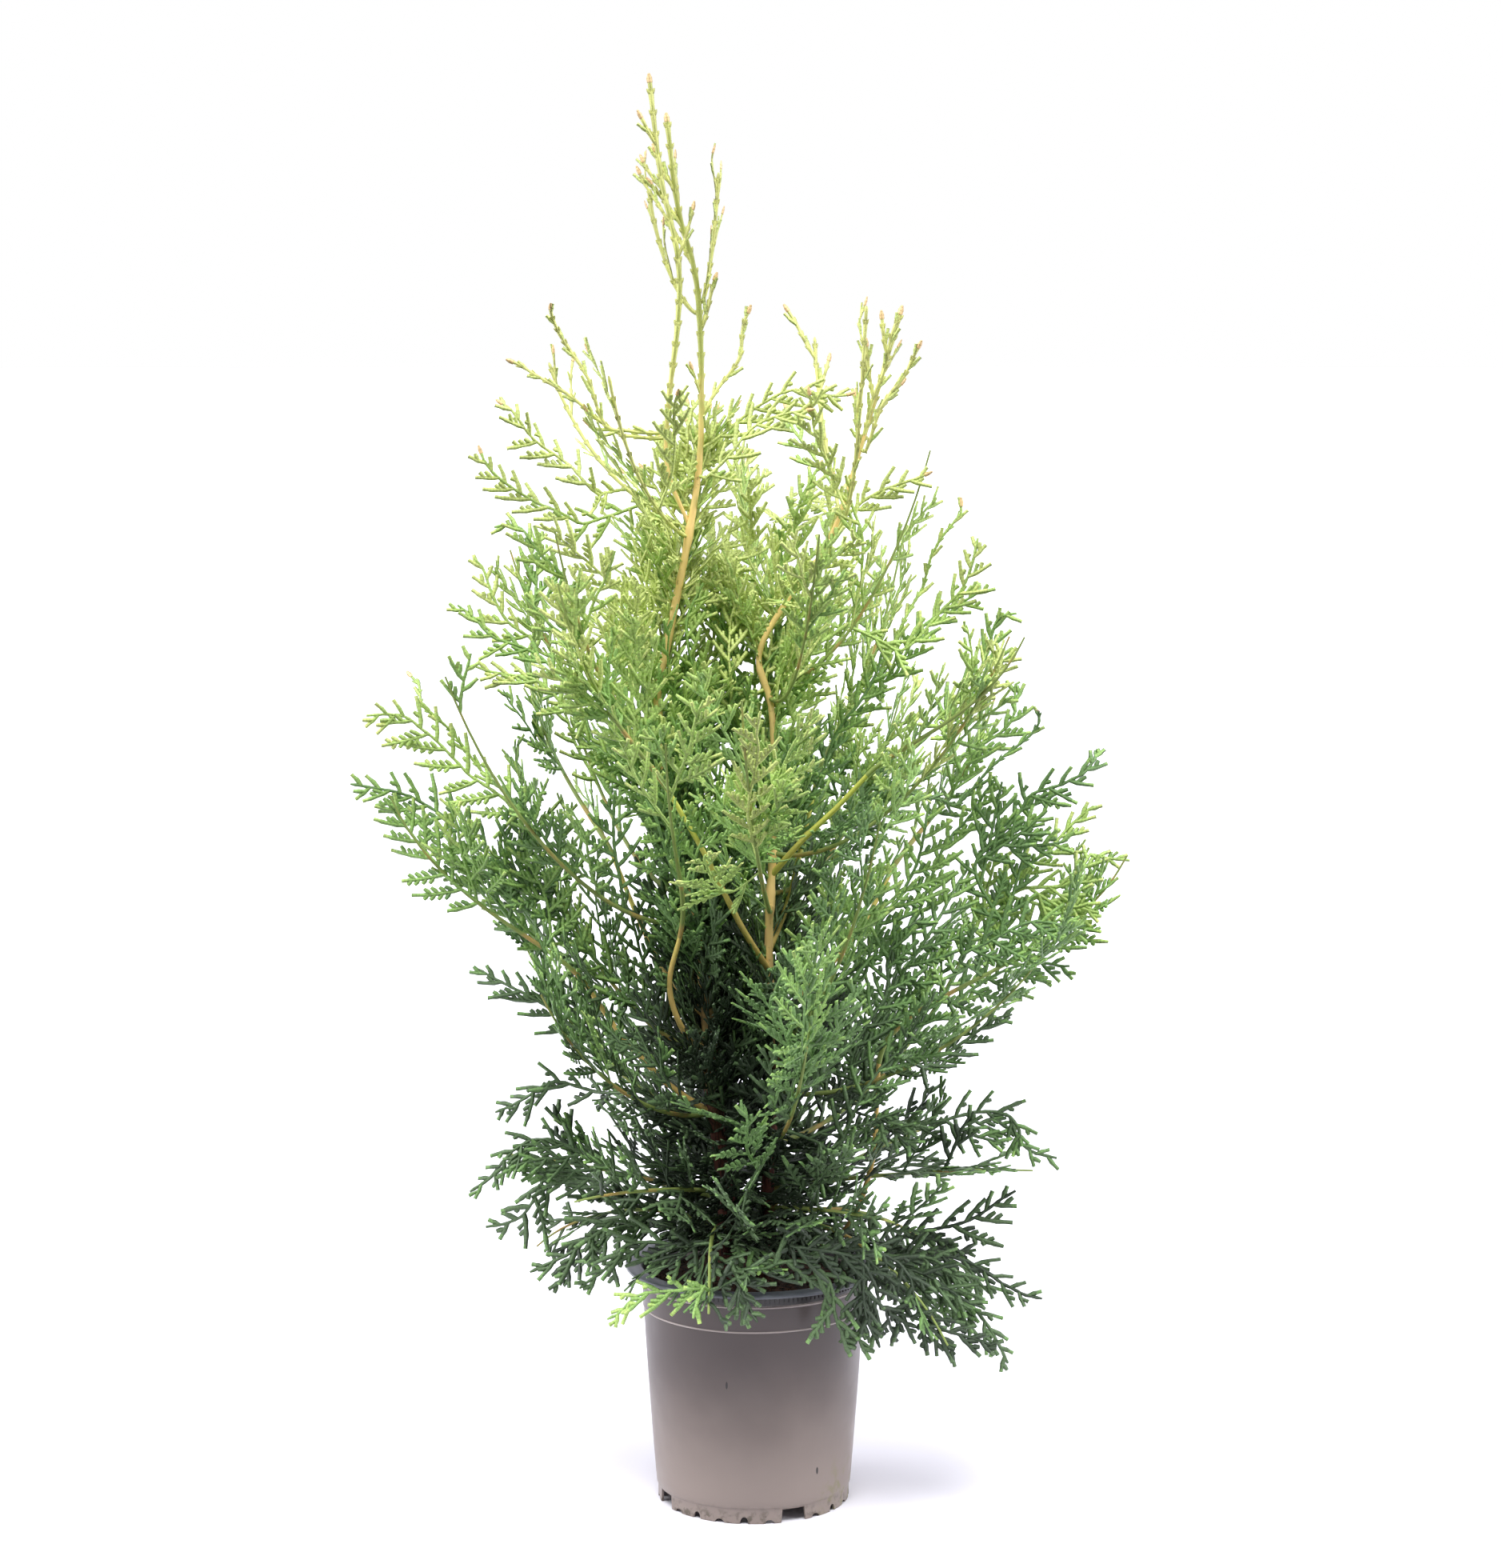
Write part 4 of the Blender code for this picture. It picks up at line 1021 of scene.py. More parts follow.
    def rib_tree(self) -> NodeTree:
        """Build the tree that stands small upright ribs in a ring.

        Returns:
            A tree with inputs for the count, the ring's radius and height, a rib's size and the
            material.
        """
        kinds = {"Count": "Int", "Radius": "Float", "Height": "Float", "Rib Size": "Vector"}
        tree, given = geometry_tree("rim_ribs", kinds)
        sizes = {"Vertices": given["Count"], "Radius": given["Radius"]}
        ring = add_node(tree, "GeometryNodeMeshCircle", {}, sizes)["Mesh"]
        height = add_node(tree, VECTOR, {}, {"Z": given["Height"]})[0]
        lifted = add_node(tree, "GeometryNodeSetPosition", {}, {"Geometry": ring, "Offset": height})[0]
        rib = add_node(tree, "GeometryNodeMeshCube", {}, {"Size": given["Rib Size"]})["Mesh"]
        place = add_node(tree, "GeometryNodeInputPosition")["Position"]
        level = add_node(tree, VECTOR_MATH, MULTIPLY, {0: place, 1: (1.0, 1.0, 0.0)})[0]
        turn = add_node(tree, "FunctionNodeAlignRotationToVector", {"axis": "X"}, {"Vector": level})[0]
        parts = {"Points": lifted, "Instance": rib, "Rotation": turn}
        ribs = add_node(tree, "GeometryNodeInstanceOnPoints", {}, parts)["Instances"]
        return close_tree(tree, given, ribs, smooth=False)

    def ribs(self) -> Object:
        """Build the fine upright ribs that stiffen the neck under the flange.

        Returns:
            The finished ribs.
        """
        sizes = {
            "Count": self.rib_count,
            "Radius": self.neck_radius - 0.0001,
            "Height": self.bead_height + 0.0062,
            "Rib Size": self.rib_size,
            "Material": POT_PLASTIC.material(),
        }
        return shape_by(mesh_object("rim_ribs", [(0.0, 0.0, 0.0)]), self.rib_tree(), sizes)

    def build(self) -> None:
        """Build the shell and its ribs in place of the pot's node."""
        settle(self.shell(), "pot_plastic", ["pot"])
        settle(self.ribs(), "pot_plastic")


@dataclass(frozen=True)
class PottingMix:
    """The peat filling of the pot: a settled lumpy top with crumbs and bark chips on it."""

    top: float = 0.165
    edge_drop: float = 0.0025
    level_share: float = 0.75
    depth: float = 0.012
    radius: float = 0.0805
    lump: float = 0.0016
    lump_size: float = 0.013
    rings: int = 34
    columns: int = 120
    crumb_density: float = 52000.0
    crumb_size: tuple = (0.0007, 0.0024)
    crumb_shape: tuple = ((0.5, 0.6, 0.35), (1.0, 1.7, 0.9))
    crumb_facing: float = 0.4
    seed: int = 7

    def surface(self, name: str) -> Object:
        """Build the lumpy top and the side that meets the pot's wall.

        Args:
            name: The name of the piece.

        Returns:
            The closed piece.
        """
        vertices, faces = [Vector((0.0, 0.0, self.top))], []
        ways = [toward(360.0 * column / self.columns) for column in range(self.columns)]
        for ring in range(1, self.rings + 1):
            share = ring / self.rings
            settled = self.edge_drop * max(0.0, share - self.level_share) / (1.0 - self.level_share)
            for way in ways:
                place = way * (self.radius * share)
                lump = noise.fractal(place / self.lump_size, 1.0, 2.0, 3) * self.lump
                vertices.append(place + UP * (self.top - settled + lump * (1.0 - share**8)))
        vertices += [way * (self.radius - MILLIMETRE) + UP * (self.top - self.depth) for way in ways]
        for column in range(self.columns):
            after = (column + 1) % self.columns
            faces.append((0, 1 + column, 1 + after))
            for ring in range(self.rings):
                here = 1 + ring * self.columns
                there = here + self.columns
                faces.append((here + column, there + column, there + after, here + after))
        last = 1 + self.rings * self.columns
        faces.append([last + column for column in reversed(range(self.columns))])
        obj = mesh_object(name, vertices, faces=faces)
        face_outwards(obj)
        obj.data.materials.append(POTTING_MIX.material())
        return obj

    def crumb_tree(self) -> NodeTree:
        """Build the tree that strews crumbs over the upward faces of a surface.

        Returns:
            A tree with inputs for the density, the least and greatest size, the seed and the
            material.
        """
        kinds = {"Density": "Float", "Least": "Float", "Greatest": "Float", "Seed": "Int"}
        tree, given = geometry_tree("peat_crumbs", kinds)
        seed = given["Seed"]
        normal = add_node(tree, "GeometryNodeInputNormal")["Normal"]
        facing = {"A": add_node(tree, AXES, {}, {"Vector": normal})["Z"], "B": self.crumb_facing}
        upward = add_node(tree, "FunctionNodeCompare", {"operation": "GREATER_THAN"}, facing)[0]
        sown = {"Mesh": given["Geometry"], "Selection": upward, "Density": given["Density"], "Seed": seed}
        spots = add_node(tree, "GeometryNodeDistributePointsOnFaces", {}, sown)["Points"]
        grain = {"Radius": 0.5, "Subdivisions": 1}
        crumb = add_node(tree, "GeometryNodeMeshIcoSphere", {}, grain)["Mesh"]
        least, most = self.crumb_shape
        sizes = {2: given["Least"], 3: given["Greatest"], "Seed": seed}
        size = add_node(tree, RANDOM, {"data_type": "FLOAT"}, sizes)[1]
        vectors = {"data_type": "FLOAT_VECTOR"}
        turn = add_node(tree, RANDOM, vectors, {0: (0.0,) * 3, 1: (math.tau,) * 3, "Seed": seed})[0]
        shape = add_node(tree, RANDOM, vectors, {0: least, 1: most, "Seed": seed})[0]
        sized = add_node(tree, VECTOR_MATH, SCALE, {0: shape, "Scale": size})[0]
        parts = {"Points": spots, "Instance": crumb, "Rotation": turn, "Scale": sized}
        crumbs = add_node(tree, "GeometryNodeInstanceOnPoints", {}, parts)["Instances"]
        return close_tree(tree, given, crumbs, smooth=False)

    def build(self) -> None:
        """Build the mix and its crumbs in place of the soil's node."""
        settle(self.surface("potting_mix"), "peat", ["soil"])
        sizes = {
            "Density": self.crumb_density,
            "Least": self.crumb_size[0],
            "Greatest": self.crumb_size[1],
            "Seed": self.seed,
            "Material": POTTING_MIX.material(),
        }
        settle(shape_by(self.surface("peat_crumbs"), self.crumb_tree(), sizes), "peat")


# Wood


def metres(corner: Sequence[float]) -> Vector:
    """Return a place that is given in millimetres."""
    return Vector([value / 1000.0 for value in corner])


@dataclass(frozen=True)
class Limb:
    """A stem or bough: the middle of its wood in millimetres, its end radii in metres, and its bark.

    Flare is how much the foot spreads, and relief is the depth of the bark's furrows.
    """

    name: str
    route: tuple
    radii: tuple = (0.0027, 0.0019)
    slot: str = "young_bark"
    flare: float = 0.0
    sides: int = 14
    relief: float = 0.0005
    taper_power: float = 0.8
    flare_height: float = 0.014

    @cached_property
    def path(self) -> Path:
        """Return the smooth line of the limb."""
        return smooth_path([metres(corner) for corner in self.route])

    def radius(self, distance: float) -> float:
        """Return the radius of the wood at a distance along the limb.

        Args:
            distance: How far from the foot.

        Returns:
            The radius.
        """
        share = min(max(distance / self.path.length, 0.0), 1.0)
        taper = blend(*self.radii, share**self.taper_power)
        return taper * (1.0 + self.flare * math.exp(-distance / self.flare_height))

    def at_height(self, height: float) -> Vector:
        """Return the middle of the wood at a height."""
        return self.path.at(self.path.at_height(height))


SOIL_SURFACE = 164.5
TRUNK_ROUTE = (
    (-20, 0, SOIL_SURFACE),
    *((-21, 2, 230), (-31, 3, 310), (-36, 0, 390), (-51, -4, 470), (-70, -6, 585), (-62, -4, 640)),
    *((-47, -2, 715), (-38, 0, 785), (-40, 2, 890), (-54, 3, 950), (-62, 4, 1014)),
)
RIGHT_ROUTE = (
    (10, 6, SOIL_SURFACE),
    *((11, 4, 245), (16, -2, 335), (11, -6, 410), (15, -8, 520), (13, -6, 590), (4, -4, 630)),
    *((26, -2, 672), (56, 0, 715), (79, 2, 785), (106, 4, 878)),
)
LEADER_ROUTE = (
    *((-46, -1, 722), (-62, -6, 765), (-61, -7, 810), (-54, -8, 870), (-54, -8, 915)),
    *((-66, -6, 972), (-74, -4, 1041)),
)
TRUNK = Limb("trunk", TRUNK_ROUTE, (0.0075, 0.0009), "old_bark", flare=0.55, sides=22, relief=0.0011)
RIGHT_STEM = Limb("right_stem", RIGHT_ROUTE, (0.0056, 0.0009), flare=0.55, sides=20, relief=0.0008)
LEFT_LEADER = Limb("left_leader", LEADER_ROUTE, (0.0016, 0.0008), relief=0.0002)

BOUGH_ROUTES = {
    "tan_bough": ((-34, 0, 335), (-52, -22, 358), (-61, -32, 392), (-53, -42, 430)),
    "yellow_bough": ((11, -6, 398), (-10, -30, 437), (-36, -46, 492), (-62, -60, 540)),
    "left_bough": ((-29, 2, 288), (-64, -6, 314), (-96, -12, 350), (-123, -16, 390)),
    "right_fork": ((11, -6, 412), (26, 10, 448), (36, 22, 490), (47, 32, 535)),
    "upper_right_bough": ((14, -8, 470), (36, -26, 498), (60, -38, 523), (82, -46, 548)),
    "right_low_bough": ((10, 6, 186), (60, -10, 196), (86, -12, 250), (92, -8, 330)),
    "back_bough": ((15, 0, 315), (22, 40, 345), (20, 66, 385), (14, 84, 430)),
    "back_left_bough": ((-34, 2, 360), (-66, 36, 390), (-88, 58, 430), (-106, 72, 472)),
    "back_right_bough": ((14, -3, 360), (50, 26, 388), (82, 48, 424), (104, 64, 462)),
}
BOUGH_TIPS = {
    "tan_bough": (-60, -170, 585),
    "yellow_bough": (-135, -120, 690),
    "left_bough": (-262, -30, 530),
    "right_fork": (110, 100, 700),
    "upper_right_bough": (190, -85, 650),
    "right_low_bough": (274, 10, 480),
    "back_bough": (20, 195, 560),
    "back_left_bough": (-175, 135, 610),
    "back_right_bough": (185, 135, 585),
}


@dataclass
class Wood:
    """The stems and boughs, swept with furrows and with a collar where each side shoot leaves."""

    ring_pitch: float = 0.0018
    step: float = 0.0036
    furrow: float = 0.0026
    stretch: float = 5.0
    collar_swell: float = 0.22
    collar_length: float = 0.005
    waviness: float = 0.05
    wave_length: float = 0.02
    slimness: float = 0.90
    tree: NodeTree = field(default_factory=wood_strand_tree)

    @cached_property
    def boughs(self) -> list[Limb]:
        """Return the boughs, in the order in which they are seeded."""
        return [Limb(name, route) for name, route in BOUGH_ROUTES.items()]

    @property
    def limbs(self) -> list[Limb]:
        """Return every stem and bough."""
        return [TRUNK, RIGHT_STEM, LEFT_LEADER, *self.boughs]

    def girth(self, limb: Limb, distance: float, collars: Sequence[float]) -> float:
        """Return the radius at a distance with the swelling of the collars near it.

        Args:
            limb: The stem or bough.
            distance: How far along it.
            collars: The distances at which side shoots leave.

        Returns:
            The radius.
        """
        swell = sum(math.exp(-(((distance - at) / self.collar_length) ** 2)) for at in collars)
        place = Vector((distance / self.wave_length, limb.radii[0] * 1000.0, 0.0))
        wave = noise.noise(place) * self.waviness
        return limb.radius(distance) * (self.slimness + self.collar_swell * min(swell, 1.0) + wave)

    def sweep(self, limb: Limb, collars: Sequence[float]) -> Object:
        """Build a limb with its bark.

        Args:
            limb: The stem or bough.
            collars: The distances along it at which side shoots leave.

        Returns:
            The finished piece.
        """
        marks, points = limb.path.spaced(self.step, 8)
        girths = [self.girth(limb, mark, collars) for mark in marks]
        strands = Strands()
        strands.add(points, girths, UP, self.ring_pitch)
        sizes = {
            "Sides": limb.sides,
            "Relief": limb.relief,
            "Furrow": self.furrow,
            "Stretch": self.stretch,
            "Material": (BOUGH_BARK if limb.name in BOUGH_ROUTES else STEM_BARK).material(),
        }
        return strands.shaped(f"barked_{limb.name}", self.tree, sizes)

    def build(self, collars: dict[str, list[float]]) -> None:
        """Build every limb in place of its node, with collars at distances given by its name."""
        for limb in self.limbs:
            settle(self.sweep(limb, collars.get(limb.name, [])), limb.slot, [limb.name])


# Crown


@dataclass(frozen=True)
class CrownOutline:
    """Where the furthest tips stand left and right of the pot's axis at each height."""

    heights: tuple = (0.09, 0.16, 0.24, 0.31, 0.42, 0.48, 0.55, 0.63, 0.72, 0.81, 0.88, 0.95, 1.04)
    left: tuple = (0.115, 0.165, 0.213, 0.165, 0.200, 0.262, 0.284, 0.250, 0.207, 0.197, 0.150, 0.090, 0.085)
    right: tuple = (0.13, 0.218, 0.232, 0.185, 0.235, 0.289, 0.252, 0.215, 0.170, 0.125, 0.115, 0.0, -0.04)
    depth_share: float = 0.86

    def section(self, height: float) -> tuple[float, float, float]:
        """Find the crown's section.

        Args:
            height: How high over the floor.

        Returns:
            Where its middle is left or right, its half width and its half depth.
        """
        left = read_profile(height, self.heights, self.left)
        right = read_profile(height, self.heights, self.right)
        half = (left + right) / 2.0
        return (right - left) / 2.0, half, half * self.depth_share

    def edge(self, height: float, azimuth: float) -> Vector:
        """Find a point of the outline.

        Args:
            height: How high over the floor.
            azimuth: The direction that it lies in.

        Returns:
            The point.
        """
        middle, half, depth = self.section(height)
        outward = toward(azimuth)
        return Vector((middle + half * outward.x, depth * outward.y, height))

    def reach(self, point: Vector) -> float:
        """Return how far out a point stands: 0 on the crown's axis and 1 on its outline."""
        middle, half, depth = self.section(point.z)
        return math.hypot((point.x - middle) / half, point.y / depth)


@dataclass(frozen=True)
class Tier:
    """A ring of foliage masses that leave the stems at like heights.

    Base is the lowest place where a shoot leaves and spread what the places vary by. Rise is the
    tip's height over the base, lean lifts the tips on the right, arch bows the shoots upwards, and
    share says how far out to the crown's outline they reach.
    """

    name: str
    count: int
    first_azimuth: float
    base: float
    spread: float
    rise: float
    lean: float
    arch: float
    share: float
    sprays: int


TIERS = (
    Tier("skirt", 5, 48.0, 0.198, 0.006, -0.046, -0.022, 0.022, 1.0, 6),
    Tier("low", 6, 80.0, 0.214, 0.026, 0.030, 0.000, 0.014, 1.0, 6),
    Tier("flank", 6, 66.0, 0.258, 0.050, 0.125, 0.000, -0.006, 1.0, 6),
    Tier("shoulder", 5, 75.0, 0.420, 0.060, 0.160, -0.010, -0.010, 1.0, 6),
    Tier("inner", 3, 35.0, 0.310, 0.060, 0.180, 0.000, 0.000, 0.6, 6),
    Tier("upper", 5, 96.0, 0.560, 0.060, 0.150, 0.000, -0.010, 1.0, 6),
    Tier("top", 4, 60.0, 0.690, 0.050, 0.140, 0.000, -0.010, 1.0, 6),
    Tier("crest", 2, 85.0, 0.860, 0.020, 0.105, 0.000, -0.010, 1.0, 5),
)


@dataclass(frozen=True)
class SprayHabit:
    """How a spray is feathered.

    Step is the distance from one branchlet to the next, by turns left and right, and angle is how
    far they stand off. They grow longer by reach times the distance to the spray's tip, up to
    longest. Lobes stand lobe_step apart on them and are lobe long. Width widens both.
    """

    step: float
    angle: float
    reach: float
    longest: float
    lobe_step: float
    lobe: float
    axis_girth: float
    width: float = 1.0
    branched: bool = False


class Habit(Enum):
    """The kinds of spray on the plant."""

    FULL = SprayHabit(0.0080, 58.0, 0.42, 0.031, 0.0050, 0.0092, 0.00150, 1.14)
    OPEN = SprayHabit(0.0080, 48.0, 0.34, 0.021, 0.0050, 0.0082, 0.00150, 1.16)
    LEADING = SprayHabit(0.0160, 25.0, 0.06, 0.013, 0.0200, 0.0060, 0.00165)
    BRANCHED = SprayHabit(0.0085, 54.0, 0.26, 0.025, 0.0054, 0.0094, 0.00165, 1.16, True)
    COARSE = SprayHabit(0.0094, 48.0, 0.40, 0.030, 0.0062, 0.0102, 0.00170, 1.34)
    INNER = SprayHabit(0.0086, 50.0, 0.42, 0.034, 0.0056, 0.0102, 0.00150, 1.14)


@dataclass(frozen=True)
class Mass:
    """The shoot that a foliage mass grows on: its line, girth, sprays, seed and the sprays' bow."""

    name: str
    path: Path
    girth: float
    sprays: int
    seed: int
    bend: float
    first_share: float = 0.12


@dataclass(frozen=True)
class Spray:
    """One flat spray: its line, the way its face looks, its habit and how much fresher it is.

    On the plain side, 1 or -1, the branchlets are short and have few lobes; 0 is for neither. Only
    an overhanging spray may hang before the pot.
    """

    path: Path
    face: Vector
    habit: Habit
    fresher: float = 0.0
    plain_side: float = 0.0
    overhangs: bool = False


@dataclass(frozen=True)
class Branchlet:
    """One branchlet: where it leaves the axis, which way, its length and how far it stands off."""

    root: Vector
    forward: Vector
    outward: Vector
    face: Vector
    length: float
    angle: float
    plain: bool = False
    overhangs: bool = False


@dataclass(frozen=True)
class OuterShoot:
    """A shoot that draws the crown's outline as seen from the front, in millimetres.

    Foot and tip are (across, height), depth is their place front to back, and arch lifts the
    middle. The foot is joined to the nearest shoot or limb that is already there.
    """

    foot: tuple
    tip: tuple
    depth: int
    habit: Habit
    arch: int = 0
    fresher: float = 0.0


OUTER_ROWS = (
    ((-175, 520), (-272, 585), -20, Habit.FULL, 12),
    ((-164, 464), (-278, 533), -10, Habit.FULL, 14),
    ((-180, 520), (-248, 632), 0, Habit.LEADING),
    ((-145, 612), (-213, 671), -20, Habit.OPEN, 4),
    ((-164, 643), (-207, 702), 10, Habit.OPEN),
    ((-133, 590), (-194, 620), -30, Habit.OPEN, 6),
    ((-135, 683), (-189, 720), 20, Habit.OPEN, 4),
    ((-130, 725), (-195, 775), 0, Habit.OPEN, 6),
    ((-115, 750), (-194, 808), -20, Habit.OPEN, 4),
    ((-100, 790), (-171, 850), 0, Habit.LEADING, 4),
    ((-108, 795), (-136, 879), -10, Habit.LEADING),
    ((-143, 406), (-200, 459), 20, Habit.OPEN),
    ((-130, 360), (-196, 404), -30, Habit.OPEN),
    ((-121, 312), (-181, 300), -20, Habit.OPEN, 12),
    ((-90, 240), (-210, 240), -30, Habit.BRANCHED, 30),
    ((-95, 225), (-198, 207), 0, Habit.COARSE, 26),
    ((-85, 215), (-158, 176), -40, Habit.COARSE, 20),
    ((-70, 210), (-130, 171), -60, Habit.COARSE, 14),
    ((-40, 186), (-112, 163), -100, Habit.OPEN, 6, 1.7),
    ((-52, 580), (-18, 690), 25, Habit.FULL),
    ((-32, 550), (-26, 660), 30, Habit.FULL),
    ((-6, 565), (-28, 668), 15, Habit.OPEN),
    ((50, 520), (82, 625), 20, Habit.OPEN),
    ((-40, 620), (-4, 745), 20, Habit.OPEN),
    ((-44, 590), (-34, 690), -15, Habit.OPEN),
    ((-20, 595), (-10, 685), -20, Habit.OPEN),
    ((0, 560), (8, 675), 30, Habit.FULL),
    ((12, 610), (22, 730), 25, Habit.OPEN),
    ((30, 660), (38, 765), 20, Habit.OPEN),
    ((79, 783), (105, 879), 0, Habit.LEADING),
    ((82, 780), (119, 856), -10, Habit.LEADING),
    ((-33, 777), (66, 831), -10, Habit.OPEN, 10),
    ((-30, 761), (35, 802), -20, Habit.OPEN, 8),
    ((-35, 800), (0, 880), 10, Habit.LEADING),
    ((62, 725), (122, 762), 0, Habit.OPEN, 6),
    ((105, 640), (152, 738), 10, Habit.LEADING),
    ((110, 640), (169, 714), -10, Habit.OPEN),
    ((98, 613), (178, 678), 20, Habit.OPEN, 6),
    ((140, 590), (191, 669), 0, Habit.OPEN),
    ((135, 585), (195, 632), -20, Habit.OPEN, 4),
    ((150, 520), (218, 608), 0, Habit.LEADING),
    ((150, 530), (197, 609), 30, Habit.OPEN),
    ((160, 480), (249, 558), -10, Habit.BRANCHED, 6),
    ((185, 455), (242, 512), 20, Habit.OPEN),
    ((165, 435), (287, 476), 0, Habit.BRANCHED, 16),
    ((70, 330), (118, 452), -40, Habit.FULL, 4),
    ((85, 350), (150, 470), -20, Habit.FULL, 4),
    ((80, 400), (128, 520), -30, Habit.FULL, 4),
    ((105, 420), (172, 535), 0, Habit.OPEN, 4),
    ((60, 280), (130, 395), -60, Habit.FULL, 6),
    ((155, 415), (237, 436), -30, Habit.FULL, 10),
    ((145, 370), (238, 397), 10, Habit.FULL, 10),
    ((130, 328), (198, 351), -10, Habit.OPEN, 6),
    ((120, 285), (231, 252), -20, Habit.BRANCHED, 26),
    ((95, 192), (191, 234), -20, Habit.COARSE, 4),
    ((90, 186), (218, 166), -30, Habit.BRANCHED, 12),
    ((90, 196), (187, 128), -50, Habit.BRANCHED, 22),
    ((35, 215), (127, 118), -100, Habit.BRANCHED, 32, -0.9),
    ((24, 205), (79, 138), -100, Habit.COARSE, 22, -0.6),
    ((45, 206), (150, 132), -80, Habit.COARSE, 28, -0.6),
    ((-10, 200), (-8, 160), -120, Habit.COARSE, 12, -0.5),
    ((-30, 195), (-42, 168), -120, Habit.COARSE, 10, 1.6),
)
OUTER_SHOOTS = tuple(OuterShoot(*row) for row in OUTER_ROWS)


@dataclass(frozen=True)
class Opening:
    """A round place where the crown is thinner and the sky shows, as seen from the front."""

    across: float
    height: float
    radius: float
    chance: float


OPENINGS = (
    Opening(0.085, 0.820, 0.050, 0.60),
    Opening(0.190, 0.400, 0.070, 0.65),
    Opening(0.155, 0.225, 0.050, 0.60),
    Opening(-0.150, 0.220, 0.060, 0.70),
    Opening(0.180, 0.440, 0.060, 0.60),
    Opening(0.140, 0.390, 0.045, 0.40),
    Opening(0.170, 0.515, 0.045, 0.40),
    Opening(-0.135, 0.515, 0.045, 0.40),
    Opening(0.120, 0.290, 0.045, 0.35),
    Opening(-0.160, 0.600, 0.050, 0.50),
    Opening(-0.120, 0.660, 0.050, 0.45),
    Opening(0.150, 0.560, 0.055, 0.45),
    Opening(0.130, 0.650, 0.050, 0.45),
    Opening(0.165, 0.165, 0.050, 0.50),
)


@dataclass(frozen=True)
class Clearing:
    """A stretch of limb that shows bare from the front, where no foliage stands before it."""

    limb: Limb
    low: float
    high: float
    half_width: float


# Limb, lowest and highest point, and half the width that stays bare
BARE_STRETCHES = (
    ("trunk", 0.620, 0.790, 0.004),
    ("right_stem", 0.560, 0.660, 0.004),
    ("right_stem", 0.400, 0.475, 0.004),
    ("yellow_bough", 0.485, 0.540, 0.003),
    ("tan_bough", 0.345, 0.430, 0.003),
)
# The foliage slot of a mass by the height that its top stays under
SLOT_TOPS = ((0.45, "foliage_deep"), (0.70, "foliage_fresh"), (math.inf, "foliage_lime"))


